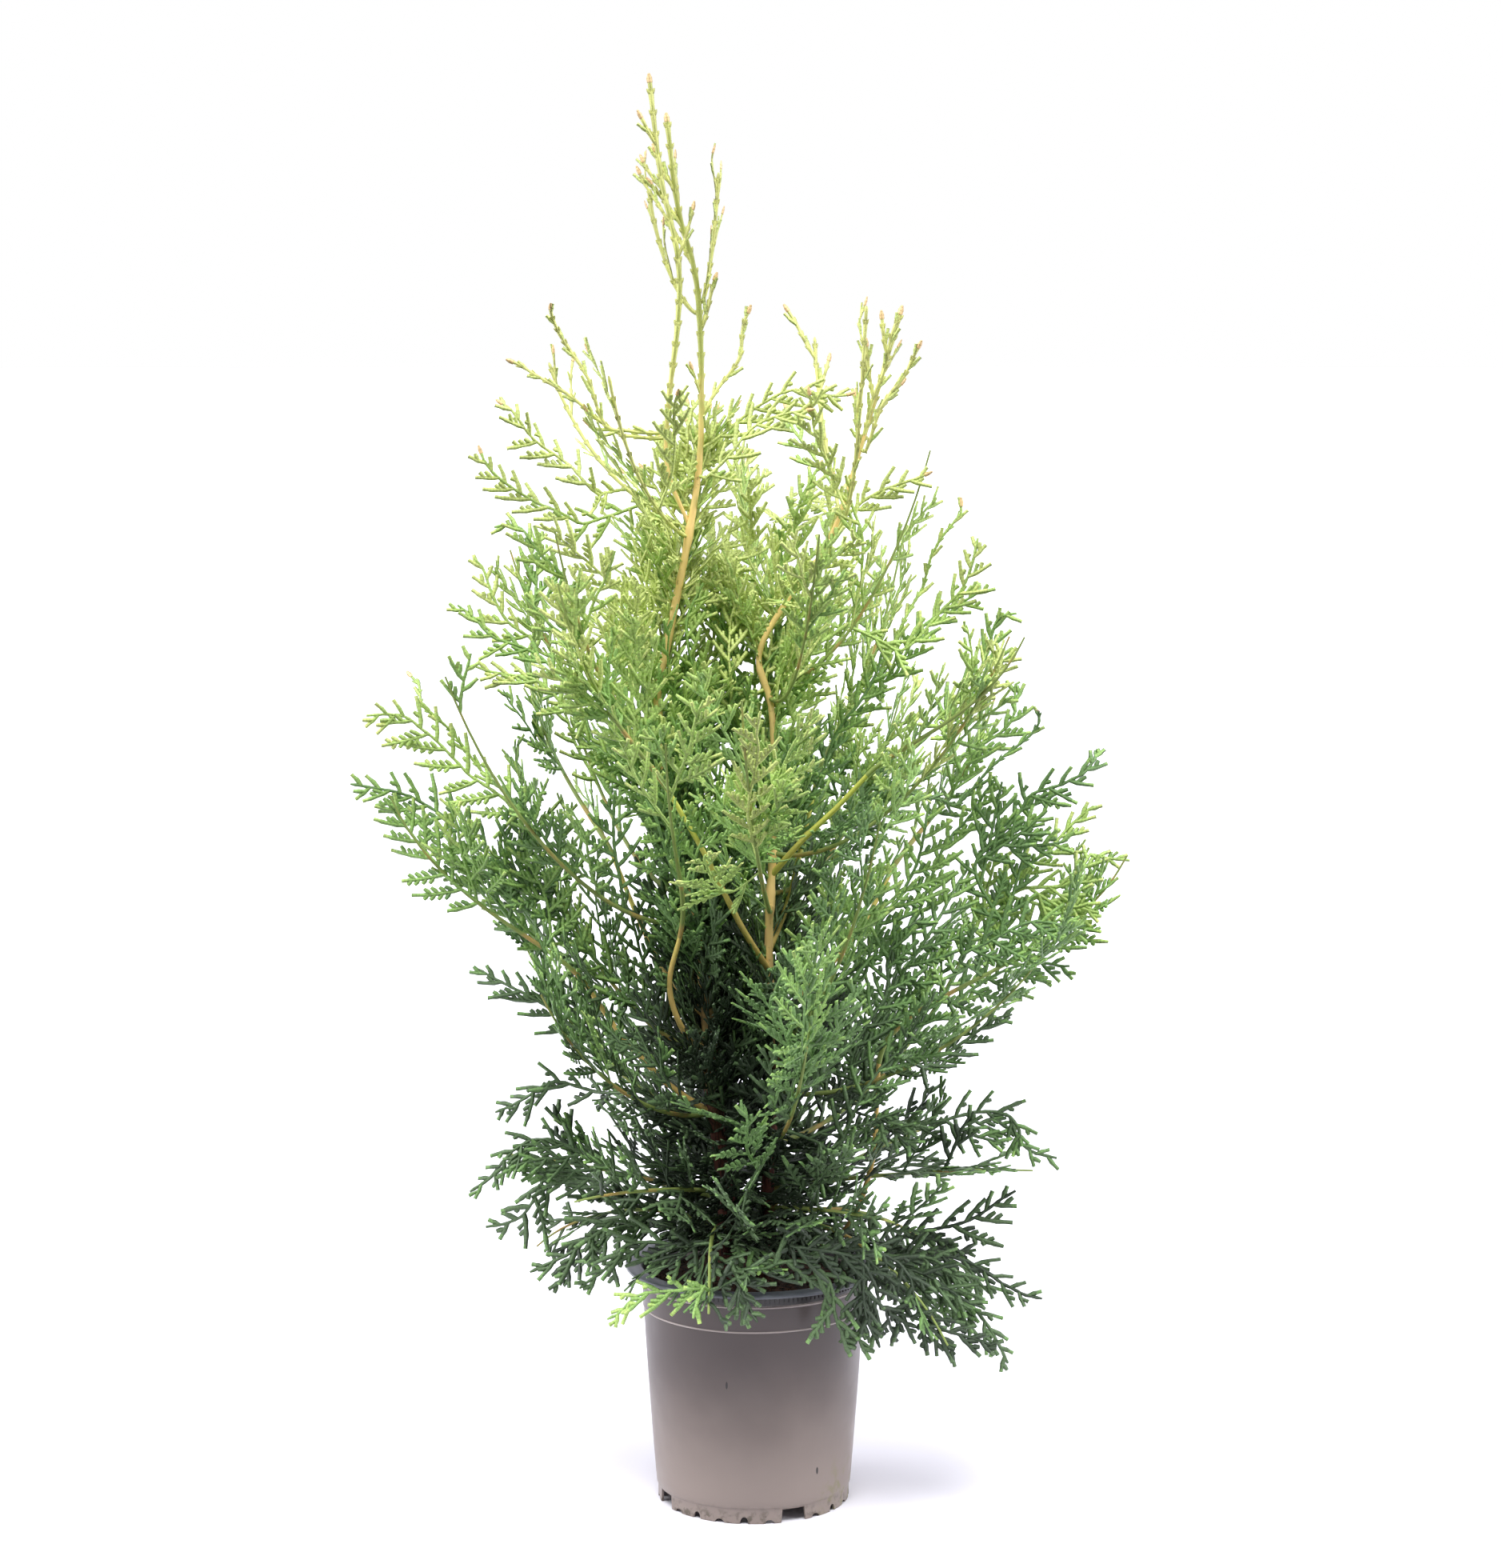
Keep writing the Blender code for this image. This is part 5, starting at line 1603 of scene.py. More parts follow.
@dataclass
class Crown:
    """All foliage: the masses' shoots by their rule, and the sprays and leaves grown on them.

    A field of two rows holds heights over the floor, and the value at each.
    """

    wood: Wood
    outline: CrownOutline = CrownOutline()
    leaves: list[list[Strands]] = field(default_factory=lambda: [[Strands()] for _ in LEAF_TONES])
    tips: Strands = field(default_factory=Strands)
    leading: Strands = field(default_factory=Strands)
    twigs: Strands = field(default_factory=Strands)
    collars: dict[str, list[float]] = field(default_factory=dict)
    seed: int = 41
    bough_seed: int = 151
    fine_seed: int = 9000
    shoot_radius: float = 0.0021
    shoot_tip_radius: float = 0.0007
    wood_share: float = 0.60
    seat_share: float = 0.5
    bare_stem_end: float = 0.060
    azimuth_drift: float = 6.0
    rise_spread: tuple = (0.85, 1.15)
    end_spray_room: float = 0.014
    sweep_leaving: float = 0.30
    sweep_arriving: float = 0.76
    sweep_rise: float = 0.42
    sweep_steps: int = 18
    bough_sprays: int = 7
    bough_first_spray: float = 0.10
    spray_share: float = 0.52
    spray_limits: tuple = (0.045, 0.110)
    spray_taper: float = 0.42
    spray_spread: tuple = (0.85, 1.15)
    spray_angles: tuple = (34.0, 52.0)
    angle_taper: float = 0.25
    last_spray: float = 0.90
    end_spray: float = 0.97
    end_length: float = 0.62
    between_tops: tuple = (0.5, 0.82)
    between_upper: int = 3
    between_length: float = 0.82
    between_last: float = 0.94
    bare_shares: tuple = ((0.60, 0.84), (0.45, 0.0))
    steep_rises: tuple = ((0.60, 0.86), (0.0, 1.6))
    upright: float = 1.1
    rises: tuple = ((0.26, 0.40), (0.0, 0.45))
    least_level: float = 0.05
    face_turn: float = 50.0
    row_turn: float = 38.0
    spray_bend: float = 0.10
    skirt_bend: float = -0.30
    bend_spread: tuple = (0.6, 1.2)
    plain_sides: tuple = (-1.0, 0.0, 0.0, 1.0)
    shrink_steps: tuple = (1.0, 0.82, 0.66, 0.52)
    margin: float = 0.91
    habit_blur: float = 0.06
    habits: tuple = (
        (0.30, Habit.COARSE),
        (0.56, Habit.FULL),
        (0.76, Habit.OPEN),
        (math.inf, Habit.LEADING),
    )
    core_habits: tuple = ((0.28, Habit.COARSE), (0.60, Habit.INNER), (math.inf, Habit.FULL))
    core_sprays: int = 360
    core_heights: tuple = (0.178, 0.775)
    core_crowding: float = 1.25
    golden_angle: float = 137.508
    core_right_top: float = 0.66
    core_rises: tuple = ((0.18, 0.34), (2.0, 40.0))
    core_rise_spread: float = 34.0
    core_lengths: tuple = (0.055, 0.100)
    core_shares: tuple = ((0.58, 0.70), (1.0, 0.62))
    core_turn: float = 1.2
    core_droops: tuple = ((0.20, 0.30), (-0.35, 0.08))
    # Painted shade and light: sprays in the crown's middle are darker low down as shade, and lighter higher
    # up in place of light shining through the leaves
    core_shading: tuple = ((0.20, 0.34, 0.46, 0.62), (-1.1, -0.9, -0.3, 0.4))
    seat_height: float = 0.015
    near_seat: float = 0.012
    carrier_share: float = 0.6
    carrier_sag: float = 0.002
    outer_depth: float = 0.01
    outer_faces: tuple = ((-0.3, 0.3), (0.0, 0.5))
    depth_count: int = 64
    depth_heights: tuple = (0.24, 0.80)
    depth_turn: float = 55.0
    depth_reach: tuple = (0.72, 0.94)
    depth_feet: tuple = (0.45, 0.60)
    depth_drops: tuple = (0.03, 0.06)
    depth_roll: float = 1.0
    waver: float = 0.16
    waver_size: float = 0.045
    waver_seed: int = 1
    axis_pitch: float = 0.0040
    axis_taper: float = 0.82
    axis_fresher: float = 0.2
    bare_foot: float = 0.07
    bare_tip: float = 0.004
    tilt: float = 0.20
    step_spread: tuple = (0.85, 1.15)
    step_shares: tuple = (1.12, 0.85)
    angle_shares: tuple = (1.08, 0.80)
    tip_reach: float = 0.007
    foot_lengths: tuple = (0.6, 2.0)
    fresh_from: float = 0.35
    length_spread: tuple = (0.8, 1.12)
    side_share: float = 0.45
    side_end: float = 0.72
    side_chance: float = 0.6
    side_angles: tuple = (34.0, 48.0)
    side_bow: float = 0.14
    side_fresher: float = 0.25
    end_fresher: float = 0.9
    branch_pitch: float = 0.0050
    branch_girth: float = 0.00155
    shortest_branch: float = 0.0050
    branch_wander: float = 9.0
    branch_bow: tuple = (0.10, 0.40)
    branch_droop: tuple = (-0.18, 0.14)
    branch_end: float = 0.0038
    branch_spread: tuple = (0.9, 1.1)
    half_length: float = 0.49
    end_lobe: tuple = (0.005, 0.0012)
    end_club: tuple = (0.95, 1.15)
    end_pitch: float = 0.0066
    end_tone: float = 0.6
    lobe_girth: float = 0.00150
    lobe_club: tuple = (0.72, 1.34)
    lobe_taper: float = 0.35
    lobe_starts: tuple = (0.8, 1.2)
    lobe_spread: tuple = (0.85, 1.15)
    lobe_fresh_from: float = 0.45
    lobe_way: tuple = (0.72, 0.69)
    lobe_droop: float = 0.15
    inner_lobe: float = 0.7
    plain_lobes: tuple = (0.75, 1.5)
    doubled_step: float = 0.55
    tip_fresher: float = 1.25
    plain_share: float = 0.72
    two_sided: float = 0.026
    internode: float = 0.0150
    side_internode: float = 0.75
    scale_step: float = 0.0018
    scale_pitch: float = 0.0022
    node_flare: tuple = (0.80, 0.34)
    node_taper: float = 0.85
    node_reach: tuple = (0.002, 0.0016)
    node_width: tuple = (0.5, 1.18)
    node_girth: float = 0.45
    node_pitch: float = 0.0018
    bud_reach: tuple = (0.0035, 0.0030)
    bud_girth: float = 1.04
    bud_pitch: float = 0.0032
    leader_girth: float = 0.00235
    leader_shoots: float = 0.40
    leader_turn: float = 0.9
    leader_angles: tuple = (20.0, 32.0)
    leader_lengths: tuple = (0.018, 0.046)
    leader_tone: float = 5.0
    leader_face: tuple = (0.2, -1.0, 0.1)
    leader_bud: float = 0.85
    leader_room: float = 0.8
    leader_bow: float = 0.12
    leader_steps: tuple = (0.8, 1.3)
    leader_feet: tuple = ((TRUNK, 0.80), (LEFT_LEADER, 0.735), (RIGHT_STEM, 0.70))
    twig_pitch: float = 0.006
    scaly_from: float = 0.82
    scaly_girth: float = 0.8
    piece_limit: int = 170000
    amber_from: float = 0.76
    pot_top: float = 0.179
    pot_reach: float = 0.096
    rim_drop: float = 0.010
    bare_wall: float = 0.080
    thin_chances: tuple = ((0.46, 0.58, 0.72, 0.80), (0.0, 0.30, 0.22, 0.50))
    thin_from: float = 0.62
    flush: float = 0.9
    flush_from: float = 0.36
    flush_chance: float = 0.16
    # Outer sprays lighter and inner ones darker: partly fresher growth, partly painted light and shade
    reach_shading: float = 0.3
    middle_reach: float = 0.6
    tone_place: float = 0.7
    tone_spread: float = 0.85
    tones: tuple = (
        (0.12, 0.20, 0.30, 0.40, 0.50, 0.60, 0.70, 0.80, 0.90),
        (0.9, 0.7, 0.9, 1.6, 2.5, 3.3, 4.2, 4.7, 5.0),
    )

    @cached_property
    def clearings(self) -> list[Clearing]:
        """Return the bare stretches."""
        limbs = {limb.name: limb for limb in self.wood.limbs}
        return [Clearing(limbs[name], *sizes) for name, *sizes in BARE_STRETCHES]

    def hides_stem(self, point: Vector) -> bool:
        """Return whether a point stands before a bare stretch, as seen from the front.

        Args:
            point: A point of the foliage.

        Returns:
            True if it does.
        """
        for clear in self.clearings:
            middle = clear.limb.at_height(point.z)
            depth = (middle.y - VIEWPOINT.y) / (point.y - VIEWPOINT.y)
            seen = VIEWPOINT + (point - VIEWPOINT) * depth
            before = point.y < middle.y and abs(seen.x - middle.x) < clear.half_width
            if before and clear.low < seen.z < clear.high:
                return True
        return False

    def meets_pot(self, point: Vector, overhangs: bool) -> bool:
        """Return whether a point lies in the pot's space or hangs before its wall.

        Args:
            point: A point of the foliage.
            overhangs: Whether it may hang before the wall.

        Returns:
            True if it does.
        """
        if point.z > self.pot_top:
            return False
        below_rim = point.z < self.pot_top - self.rim_drop
        before = abs(point.x) < self.bare_wall and point.y < 0.0 and below_rim
        return (before and not overhangs) or math.hypot(point.x, point.y) < self.pot_reach

    def clear_of_pot(self, path: Path) -> Path | None:
        """Return the part of a line before it meets the pot or its front.

        Args:
            path: The line.

        Returns:
            The part, or None if it is short.
        """
        meets = [place for place, point in enumerate(path.points) if self.meets_pot(point, False)]
        if not meets:
            return path
        return Path(path.points[: meets[0]]) if meets[0] > 3 else None

    def sweep(self, start: Vector, out: Vector, tip: Vector, arch: float) -> Path:
        """Draw a shoot that leaves square to the wood and sweeps over to its tip.

        Args:
            start: Where it leaves.
            out: The direction that it leaves in.
            tip: Where it ends.
            arch: How far its middle is lifted.

        Returns:
            The line.
        """
        span = tip - start
        level = Vector((span.x, span.y, 0.0))
        leaving = start + out * level.length * self.sweep_leaving + UP * arch
        arriving = start + level * self.sweep_arriving + UP * (span.z * self.sweep_rise + arch)
        points = []
        for step in range(self.sweep_steps + 1):
            t = step / self.sweep_steps
            u = 1.0 - t
            points.append(
                start * u**3 + leaving * 3.0 * u * u * t + arriving * 3.0 * u * t * t + tip * t**3
            )
        return Path(points)

    def outermost(self, height: float, direction: Vector) -> Limb:
        """Find the stem that stands furthest out in a direction.

        Args:
            height: How high over the floor.
            direction: The level direction.

        Returns:
            The stem.
        """
        tops = [(limb, metres(limb.route[-1]).z - self.bare_stem_end) for limb in (TRUNK, RIGHT_STEM)]
        standing = [limb for limb, top in tops if height < top]
        return max(standing, key=lambda limb: limb.at_height(height).dot(direction))

    def tier_mass(self, tier: Tier, place: int, seed: int) -> Mass:
        """Lay out one mass of a tier, by the rule and seed of the frame.

        Args:
            tier: The tier.
            place: Its place in the ring.
            seed: The seed of its chance.

        Returns:
            The mass.
        """
        draw = random.Random(seed)
        drift = draw.uniform(-self.azimuth_drift, self.azimuth_drift)
        azimuth = tier.first_azimuth + 360.0 * place / tier.count + drift
        outward = toward(azimuth)
        base = tier.base + tier.spread * draw.random()
        height = base + tier.rise * draw.uniform(*self.rise_spread) + tier.lean * outward.x
        limb = self.outermost(base, outward)
        distance = limb.path.at_height(base)
        self.collars.setdefault(limb.name, []).append(distance)
        wood = limb.radius(distance)
        side = limb.path.at(distance) + outward * wood * self.seat_share
        tip = side.lerp(self.outline.edge(height, azimuth), tier.share)
        tip.z = height
        tip -= outward * self.end_spray_room
        leaving = (outward + UP * read_profile(base, *self.steep_rises)).normalized()
        path = self.sweep(side, leaving, tip, tier.arch)
        girth = min(self.shoot_radius, wood * self.wood_share)
        bend = self.spray_bend if tier.rise > 0.0 else self.skirt_bend
        return Mass(f"{tier.name}_mass_{place + 1}", path, girth, tier.sprays, seed, bend)

    def masses(self) -> list[Mass]:
        """Lay out all masses.

        Returns:
            The masses of the tiers and of the boughs, in the order of their seeds.
        """
        places = [(tier, place) for tier in TIERS for place in range(tier.count)]
        found = [self.tier_mass(*where, seed) for seed, where in enumerate(places, self.seed + 1)]
        for seed, bough in enumerate(self.wood.boughs, self.bough_seed):
            ending = bough.path.heading(bough.path.length)
            start = bough.path.at(bough.path.length) - ending * MILLIMETRE
            path = self.sweep(start, ending, metres(BOUGH_TIPS[bough.name]), 0.0)
            habit = (self.shoot_radius, self.bough_sprays, seed, self.spray_bend, self.bough_first_spray)
            found.append(Mass(f"{bough.name}_mass", path, *habit))
        return found

    def spray_at(
        self, mass: Mass, share: float, side: float, chance: tuple, longest: float, rise: float = 0.0
    ) -> Spray:
        """Return one side spray of a mass, or the one at its end where the side is 0.

        Args:
            mass: The mass that bears it.
            share: Where on the shoot it stands.
            side: 1 or -1 for the two rows, and 0 for the end.
            chance: The mass's turn in degrees and its source of chance.
            longest: The length of the mass's longest spray.
            rise: How much it is turned upwards.

        Returns:
            The spray.
        """
        turn, draw = chance
        distance = share * mass.path.length
        forward = mass.path.heading(distance)
        level = forward.cross(UP)
        if level.length < self.least_level:
            level = forward.orthogonal()
        turn += draw.uniform(-self.row_turn, self.row_turn)
        row = turned(level.normalized(), forward, math.radians(turn))
        spread = math.radians(draw.uniform(*self.spray_angles)) * (1.0 - self.angle_taper * share)
        direction = between(forward, row * side, spread) if side else forward
        direction += UP * rise
        length = longest * (1.0 - self.spray_taper * share) * draw.uniform(*self.spray_spread)
        if not side:
            length = longest * self.end_length
        lift = UP * (mass.bend * draw.uniform(*self.bend_spread) * length)
        root = mass.path.at(distance)
        path = bowed_path(root, direction.normalized(), length, lift)
        low = root.z + draw.uniform(-self.habit_blur, self.habit_blur)
        plain = draw.choice(self.plain_sides)
        face = forward.cross(row)
        face -= direction * (face.dot(direction) / direction.length_squared)
        return Spray(path, face.normalized(), self.habit_at(low, self.habits), plain_side=plain)

    def habit_at(self, height: float, habits: tuple) -> Habit:
        """Return the kind of spray that grows at a height, by the limit of each kind."""
        return next(habit for limit, habit in habits if height < limit)

    def fitted(self, spray: Spray) -> Spray | None:
        """Cut a spray back until its tip stays inside the crown's outline.

        Args:
            spray: The spray.

        Returns:
            The spray, or None if it has no room.
        """
        root = spray.path.points[0]
        for scale in self.shrink_steps:
            points = [root + (point - root) * scale for point in spray.path.points]
            if self.outline.reach(points[-1]) < self.margin:
                return replace(spray, path=Path(points))
        return None

    def mass_sprays(self, mass: Mass) -> list[Spray]:
        """Return a mass's sprays: the rows and the end spray of its rule, and finer ones between.

        Args:
            mass: The mass.

        Returns:
            The sprays that stay inside the crown.
        """
        draw = random.Random(mass.seed)
        turn = draw.uniform(-self.face_turn, self.face_turn)
        longest = mass.path.length * self.spray_share
        longest = min(max(longest, self.spray_limits[0]), self.spray_limits[1])
        planned = []
        for place in range(mass.sprays):
            share = blend(mass.first_share, self.last_spray, place / (mass.sprays - 1))
            side = 1.0 if place % 2 == 0 else -1.0
            rise = read_profile(mass.path.at(share * mass.path.length).z, *self.rises)
            planned.append(self.spray_at(mass, share, side, (turn, draw), longest, rise))
        ending = self.spray_at(mass, self.end_spray, 0.0, (turn, draw), longest)
        draw = random.Random(mass.seed + self.fine_seed)
        step = (self.last_spray - mass.first_share) / (mass.sprays - 1)
        top = mass.path.points[-1].z
        low_top, high_top = self.between_tops
        count = 0 if top > high_top else self.between_upper if top > low_top else mass.sprays
        rise = self.upright if mass.bend > 0.0 else 0.0
        shorter = longest * self.between_length
        for place in range(count):
            share = min(mass.first_share + (place + 0.5) * step, self.between_last)
            side = -1.0 if place % 2 == 0 else 1.0
            planned.append(self.spray_at(mass, share, side, (turn, draw), shorter, rise))
        bare = read_profile(mass.path.points[0].z, *self.bare_shares)
        clothed = mass.path.beyond(mass.path.length * bare).points
        fitted_end = self.fitted(ending)
        if fitted_end:
            clothed = clothed[:-1] + fitted_end.path.points
        kept = [spray for spray in map(self.fitted, planned) if spray]
        return [Spray(Path(clothed), ending.face, ending.habit, self.axis_fresher), *kept]

    def core(self) -> list[Spray]:
        """Set sprays on the stems themselves to fill the crown's middle.

        Returns:
            The sprays that stay inside the crown.
        """
        draw = random.Random(self.fine_seed)
        found = []
        for place in range(self.core_sprays):
            share = ((place + draw.random()) / self.core_sprays) ** self.core_crowding
            height = blend(*self.core_heights, share)
            outward = toward(place * self.golden_angle)
            limb = RIGHT_STEM if place % 5 < 2 and height < self.core_right_top else TRUNK
            least = read_profile(height, *self.core_rises)
            rise = math.radians(draw.uniform(least, least + self.core_rise_spread))
            direction = between(outward, UP, rise)
            length = draw.uniform(*self.core_lengths) * read_profile(height, *self.core_shares)
            turn = draw.uniform(-self.core_turn, self.core_turn)
            row = turned(direction.cross(UP).normalized(), direction, turn)
            lift = UP * (read_profile(height, *self.core_droops) * length)
            path = bowed_path(limb.at_height(height), direction, length, lift)
            habit = self.habit_at(height, self.core_habits)
            # Painted shade low in the core and painted light higher up, by height
            tone = read_profile(height, *self.core_shading)
            found.append(Spray(path, direction.cross(row).normalized(), habit, tone))
        return [spray for spray in map(self.fitted, found) if spray]

    def joined(self, foot: Vector, tip: Vector, arch: float, seats: Sequence[Vector]) -> Path:
        """Draw a line by way of a foot to a tip, from the nearest shoot or limb that is there.

        Args:
            foot: Where the spray's own line begins.
            tip: Where it ends.
            arch: How far its middle is lifted.
            seats: The points of the shoots and limbs that can carry it.

        Returns:
            The line.
        """
        below = [point for point in seats if point.z < foot.z + self.seat_height]
        carrier = min(below, key=lambda point: (point - foot).length)
        middle = foot.lerp(tip, 0.5) + UP * arch
        if (carrier - foot).length < self.near_seat:
            return smooth_path((carrier, middle, tip), 6)
        sagging = carrier.lerp(foot, self.carrier_share) - UP * self.carrier_sag
        return smooth_path((carrier, sagging, foot, middle, tip), 5)

    def outer_sprays(self, seats: Sequence[Vector]) -> list[Spray]:
        """Return the outer shoots, each joined to the nearest shoot or limb that carries it.

        Args:
            seats: The points of the shoots and limbs.

        Returns:
            The sprays.
        """
        draw = random.Random(self.fine_seed + 1)
        aside, upward = self.outer_faces
        found = []
        for shoot in OUTER_SHOOTS:
            foot = metres((shoot.foot[0], shoot.depth, shoot.foot[1]))
            depth = shoot.depth / 1000.0 + draw.uniform(-self.outer_depth, self.outer_depth)
            tip = Vector((shoot.tip[0] / 1000.0, depth, shoot.tip[1] / 1000.0))
            path = self.joined(foot, tip, shoot.arch / 1000.0, seats)
            across = (tip - foot).normalized()
            face = Vector((draw.uniform(*aside), -1.0, draw.uniform(*upward)))
            face = (face - across * face.dot(across)).normalized()
            plain = 1.0 if face.cross(across).z > 0.0 else -1.0
            found.append(Spray(path, face, shoot.habit, shoot.fresher, plain, overhangs=True))
        return found

    def depth_sprays(self, seats: Sequence[Vector]) -> list[Spray]:
        """Return the sprays that fill the crown towards the front and the back.

        Args:
            seats: The points of the shoots and limbs that can carry them.

        Returns:
            The sprays.
        """
        draw = random.Random(self.fine_seed + 3)
        found = []
        for place in range(self.depth_count):
            height = blend(*self.depth_heights, (place + draw.random()) / self.depth_count)
            azimuth = 180.0 * (place % 2) + draw.uniform(-self.depth_turn, self.depth_turn)
            axis = Vector((self.outline.section(height)[0], 0.0, height))
            tip = axis.lerp(self.outline.edge(height, azimuth), draw.uniform(*self.depth_reach))
            foot = axis.lerp(tip, draw.uniform(*self.depth_feet)) - UP * draw.uniform(*self.depth_drops)
            heading = (tip - foot).normalized()
            roll = draw.uniform(-self.depth_roll, self.depth_roll)
            row = turned(heading.cross(UP).normalized(), heading, roll)
            face = heading.cross(row).normalized()
            habit = self.habit_at(height, self.habits)
            found.append(Spray(self.joined(foot, tip, 0.0, seats), face, habit))
        return found

    def tone_at(self, point: Vector, draw: random.Random, fresher: float) -> float:
        """Return the tone number of a spray: fresher higher up, and lighter further out, partly as
        fresher growth and partly as painted light, with the inner sprays darker as painted shade.

        Args:
            point: A point of the spray.
            draw: The source of chance.
            fresher: How much is added.

        Returns:
            The number.
        """
        value = read_profile(point.z, *self.tones)
        flush = self.flush if point.z > self.flush_from and draw.random() < self.flush_chance else 0.0
        # Lighter further out and darker inside: partly fresher growth, partly painted light and shade
        value += self.reach_shading * (self.outline.reach(point) - self.middle_reach)
        return value + draw.uniform(-self.tone_spread, self.tone_spread) + fresher + flush

    def leaf_strands(self, tone: float) -> Strands:
        """Return the strands of a tone that still have room in their piece.

        Args:
            tone: The tone number.

        Returns:
            The strands.
        """
        group = self.leaves[min(max(round(tone), 0), len(LEAF_TONES) - 1)]
        if group[-1].triangles > self.piece_limit:
            group.append(Strands())
        return group[-1]

    def wavering(self, path: Path) -> Path:
        """Let a line stray a little more from its way towards its tip.

        Args:
            path: The line.

        Returns:
            The strayed line.
        """
        points = []
        for point, mark in zip(path.points, path.marks):
            points.append(point + noise.noise_vector(point / self.waver_size) * (self.waver * mark))
        return Path(points)

    def grow(self, spray: Spray, draw: random.Random, tone: float | None = None) -> None:
        """Write a spray's axis, branchlets, lobes and tip bud as strands.

        Args:
            spray: The spray.
            draw: The source of chance.
            tone: The tone number, or None to take it from the place.
        """
        habit = spray.habit.value
        path = self.wavering(spray.path)
        if tone is None:
            tone = self.tone_at(path.at(path.length * self.tone_place), draw, spray.fresher)
        if spray.habit is Habit.LEADING:
            strands = self.leading if path.points[-1].z > self.scaly_from else self.leaf_strands(tone)
            length = self.internode * self.side_internode
            self.internodes(path, habit.axis_girth, length, spray.face, strands)
        else:
            tapers = [blend(1.0, self.axis_taper, mark / path.length) for mark in path.marks]
            girths = [habit.axis_girth * taper for taper in tapers]
            self.leaf_strands(tone).add(path.points, girths, spray.face, self.axis_pitch)
        if path.points[-1].z > self.amber_from or spray.habit is Habit.LEADING:
            self.bud(path, spray.face, habit.axis_girth)
        least, rise = self.foot_lengths
        place = path.length * self.bare_foot + habit.step * draw.random()
        side = draw.choice((-1.0, 1.0))
        while place < path.length - self.bare_tip:
            share = place / path.length
            left = path.length - place
            forward = path.heading(place)
            across = spray.face.cross(forward).normalized()
            tilt = draw.uniform(-self.tilt, self.tilt)
            outward = between(across, spray.face, tilt) * side
            face = spray.face * math.cos(tilt) - across * math.sin(tilt)
            full = min(1.0, least + rise * share)
            length = min(habit.longest, self.tip_reach + habit.reach * left) * full
            length *= draw.uniform(*self.length_spread)
            plain = side == spray.plain_side
            shoot = Branchlet(path.at(place), forward, outward, face, left * self.side_share, 0.0)
            branching = habit.branched and share < self.side_end and not plain
            if branching and draw.random() < self.side_chance:
                self.side_spray(shoot, tone, draw)
            else:
                length *= self.plain_share if plain else 1.0
                angle = habit.angle * blend(*self.angle_shares, share)
                given = {"plain": plain, "overhangs": spray.overhangs}
                shoot = replace(shoot, length=length, angle=angle, **given)
                fresher = self.end_fresher * (share - self.fresh_from)
                self.branchlet(shoot, habit, tone + fresher, draw)
            side = -side
            place += habit.step * draw.uniform(*self.step_spread) * blend(*self.step_shares, share)

    def side_spray(self, shoot: Branchlet, tone: float, draw: random.Random) -> None:
        """Grow a smaller spray from the side of a branched one.

        Args:
            shoot: Where it grows and how long it is.
            tone: The tone number of the branched one.
            draw: The source of chance.
        """
        angle = math.radians(draw.uniform(*self.side_angles))
        direction = between(shoot.forward, shoot.outward, angle)
        lift = shoot.forward * (self.side_bow * shoot.length)
        path = bowed_path(shoot.root, direction, shoot.length, lift, 6)
        spray = Spray(path, shoot.face, Habit.OPEN, overhangs=True)
        self.grow(spray, draw, tone + self.side_fresher)

    def branchlet(self, shoot: Branchlet, habit: SprayHabit, tone: float, draw: random.Random) -> None:
        """Write one branchlet and its lobes.

        Args:
            shoot: Where it grows and how long it is.
            habit: The spray's habit.
            tone: Its tone number.
            draw: The source of chance.
        """
        length = max(shoot.length, self.shortest_branch)
        angle = math.radians(shoot.angle + draw.uniform(-self.branch_wander, self.branch_wander))
        lift = shoot.forward * (draw.uniform(*self.branch_bow) * length)
        lift += shoot.face * (draw.uniform(*self.branch_droop) * length)
        path = bowed_path(shoot.root, between(shoot.forward, shoot.outward, angle), length, lift, 4)
        if self.hides_stem(path.points[2]) or self.hides_stem(path.points[4]):
            return
        if any(self.meets_pot(point, shoot.overhangs) for point in path.points[2:]):
            return
        girth = self.branch_girth * habit.width * draw.uniform(*self.branch_spread)
        pitch = min(self.branch_pitch, length * self.half_length)
        self.leaf_strands(tone).add(path.points, [girth] * 5, shoot.face, pitch)
        lobe = self.lobe_girth * habit.width
        back, past = self.end_lobe
        last = [path.at(length - back), path.points[-1] + path.heading(length) * past]
        fresher = self.leaf_strands(tone + self.tip_fresher * self.end_tone)
        fresher.add(last, [lobe * share for share in self.end_club], shoot.face, self.end_pitch)
        size_share, step_share = self.plain_lobes if shoot.plain else (1.0, 1.0)
        place = habit.lobe_step * draw.uniform(*self.lobe_starts) * step_share
        girths = [lobe * share for share in self.lobe_club]
        inner = 1.0
        while place < length - self.branch_end:
            share = place / length
            heading = path.heading(place)
            inward = shoot.forward - heading * shoot.forward.dot(heading)
            sideways = inward.normalized() * inner
            size = habit.lobe * size_share * (1.0 - self.lobe_taper * share)
            size *= draw.uniform(*self.lobe_spread)
            if inner < 0.0:
                size *= self.inner_lobe
            end = path.at(place) + (heading * self.lobe_way[0] + sideways * self.lobe_way[1]) * size
            end += shoot.face * (size * draw.uniform(-self.lobe_droop, self.lobe_droop))
            strands = self.leaf_strands(tone + self.tip_fresher * (share - self.lobe_fresh_from))
            strands.add([path.at(place), end], girths, shoot.face, size * self.half_length)
            if length > self.two_sided:
                inner = -inner
            place += habit.lobe_step * step_share * (self.doubled_step if length > self.two_sided else 1.0)

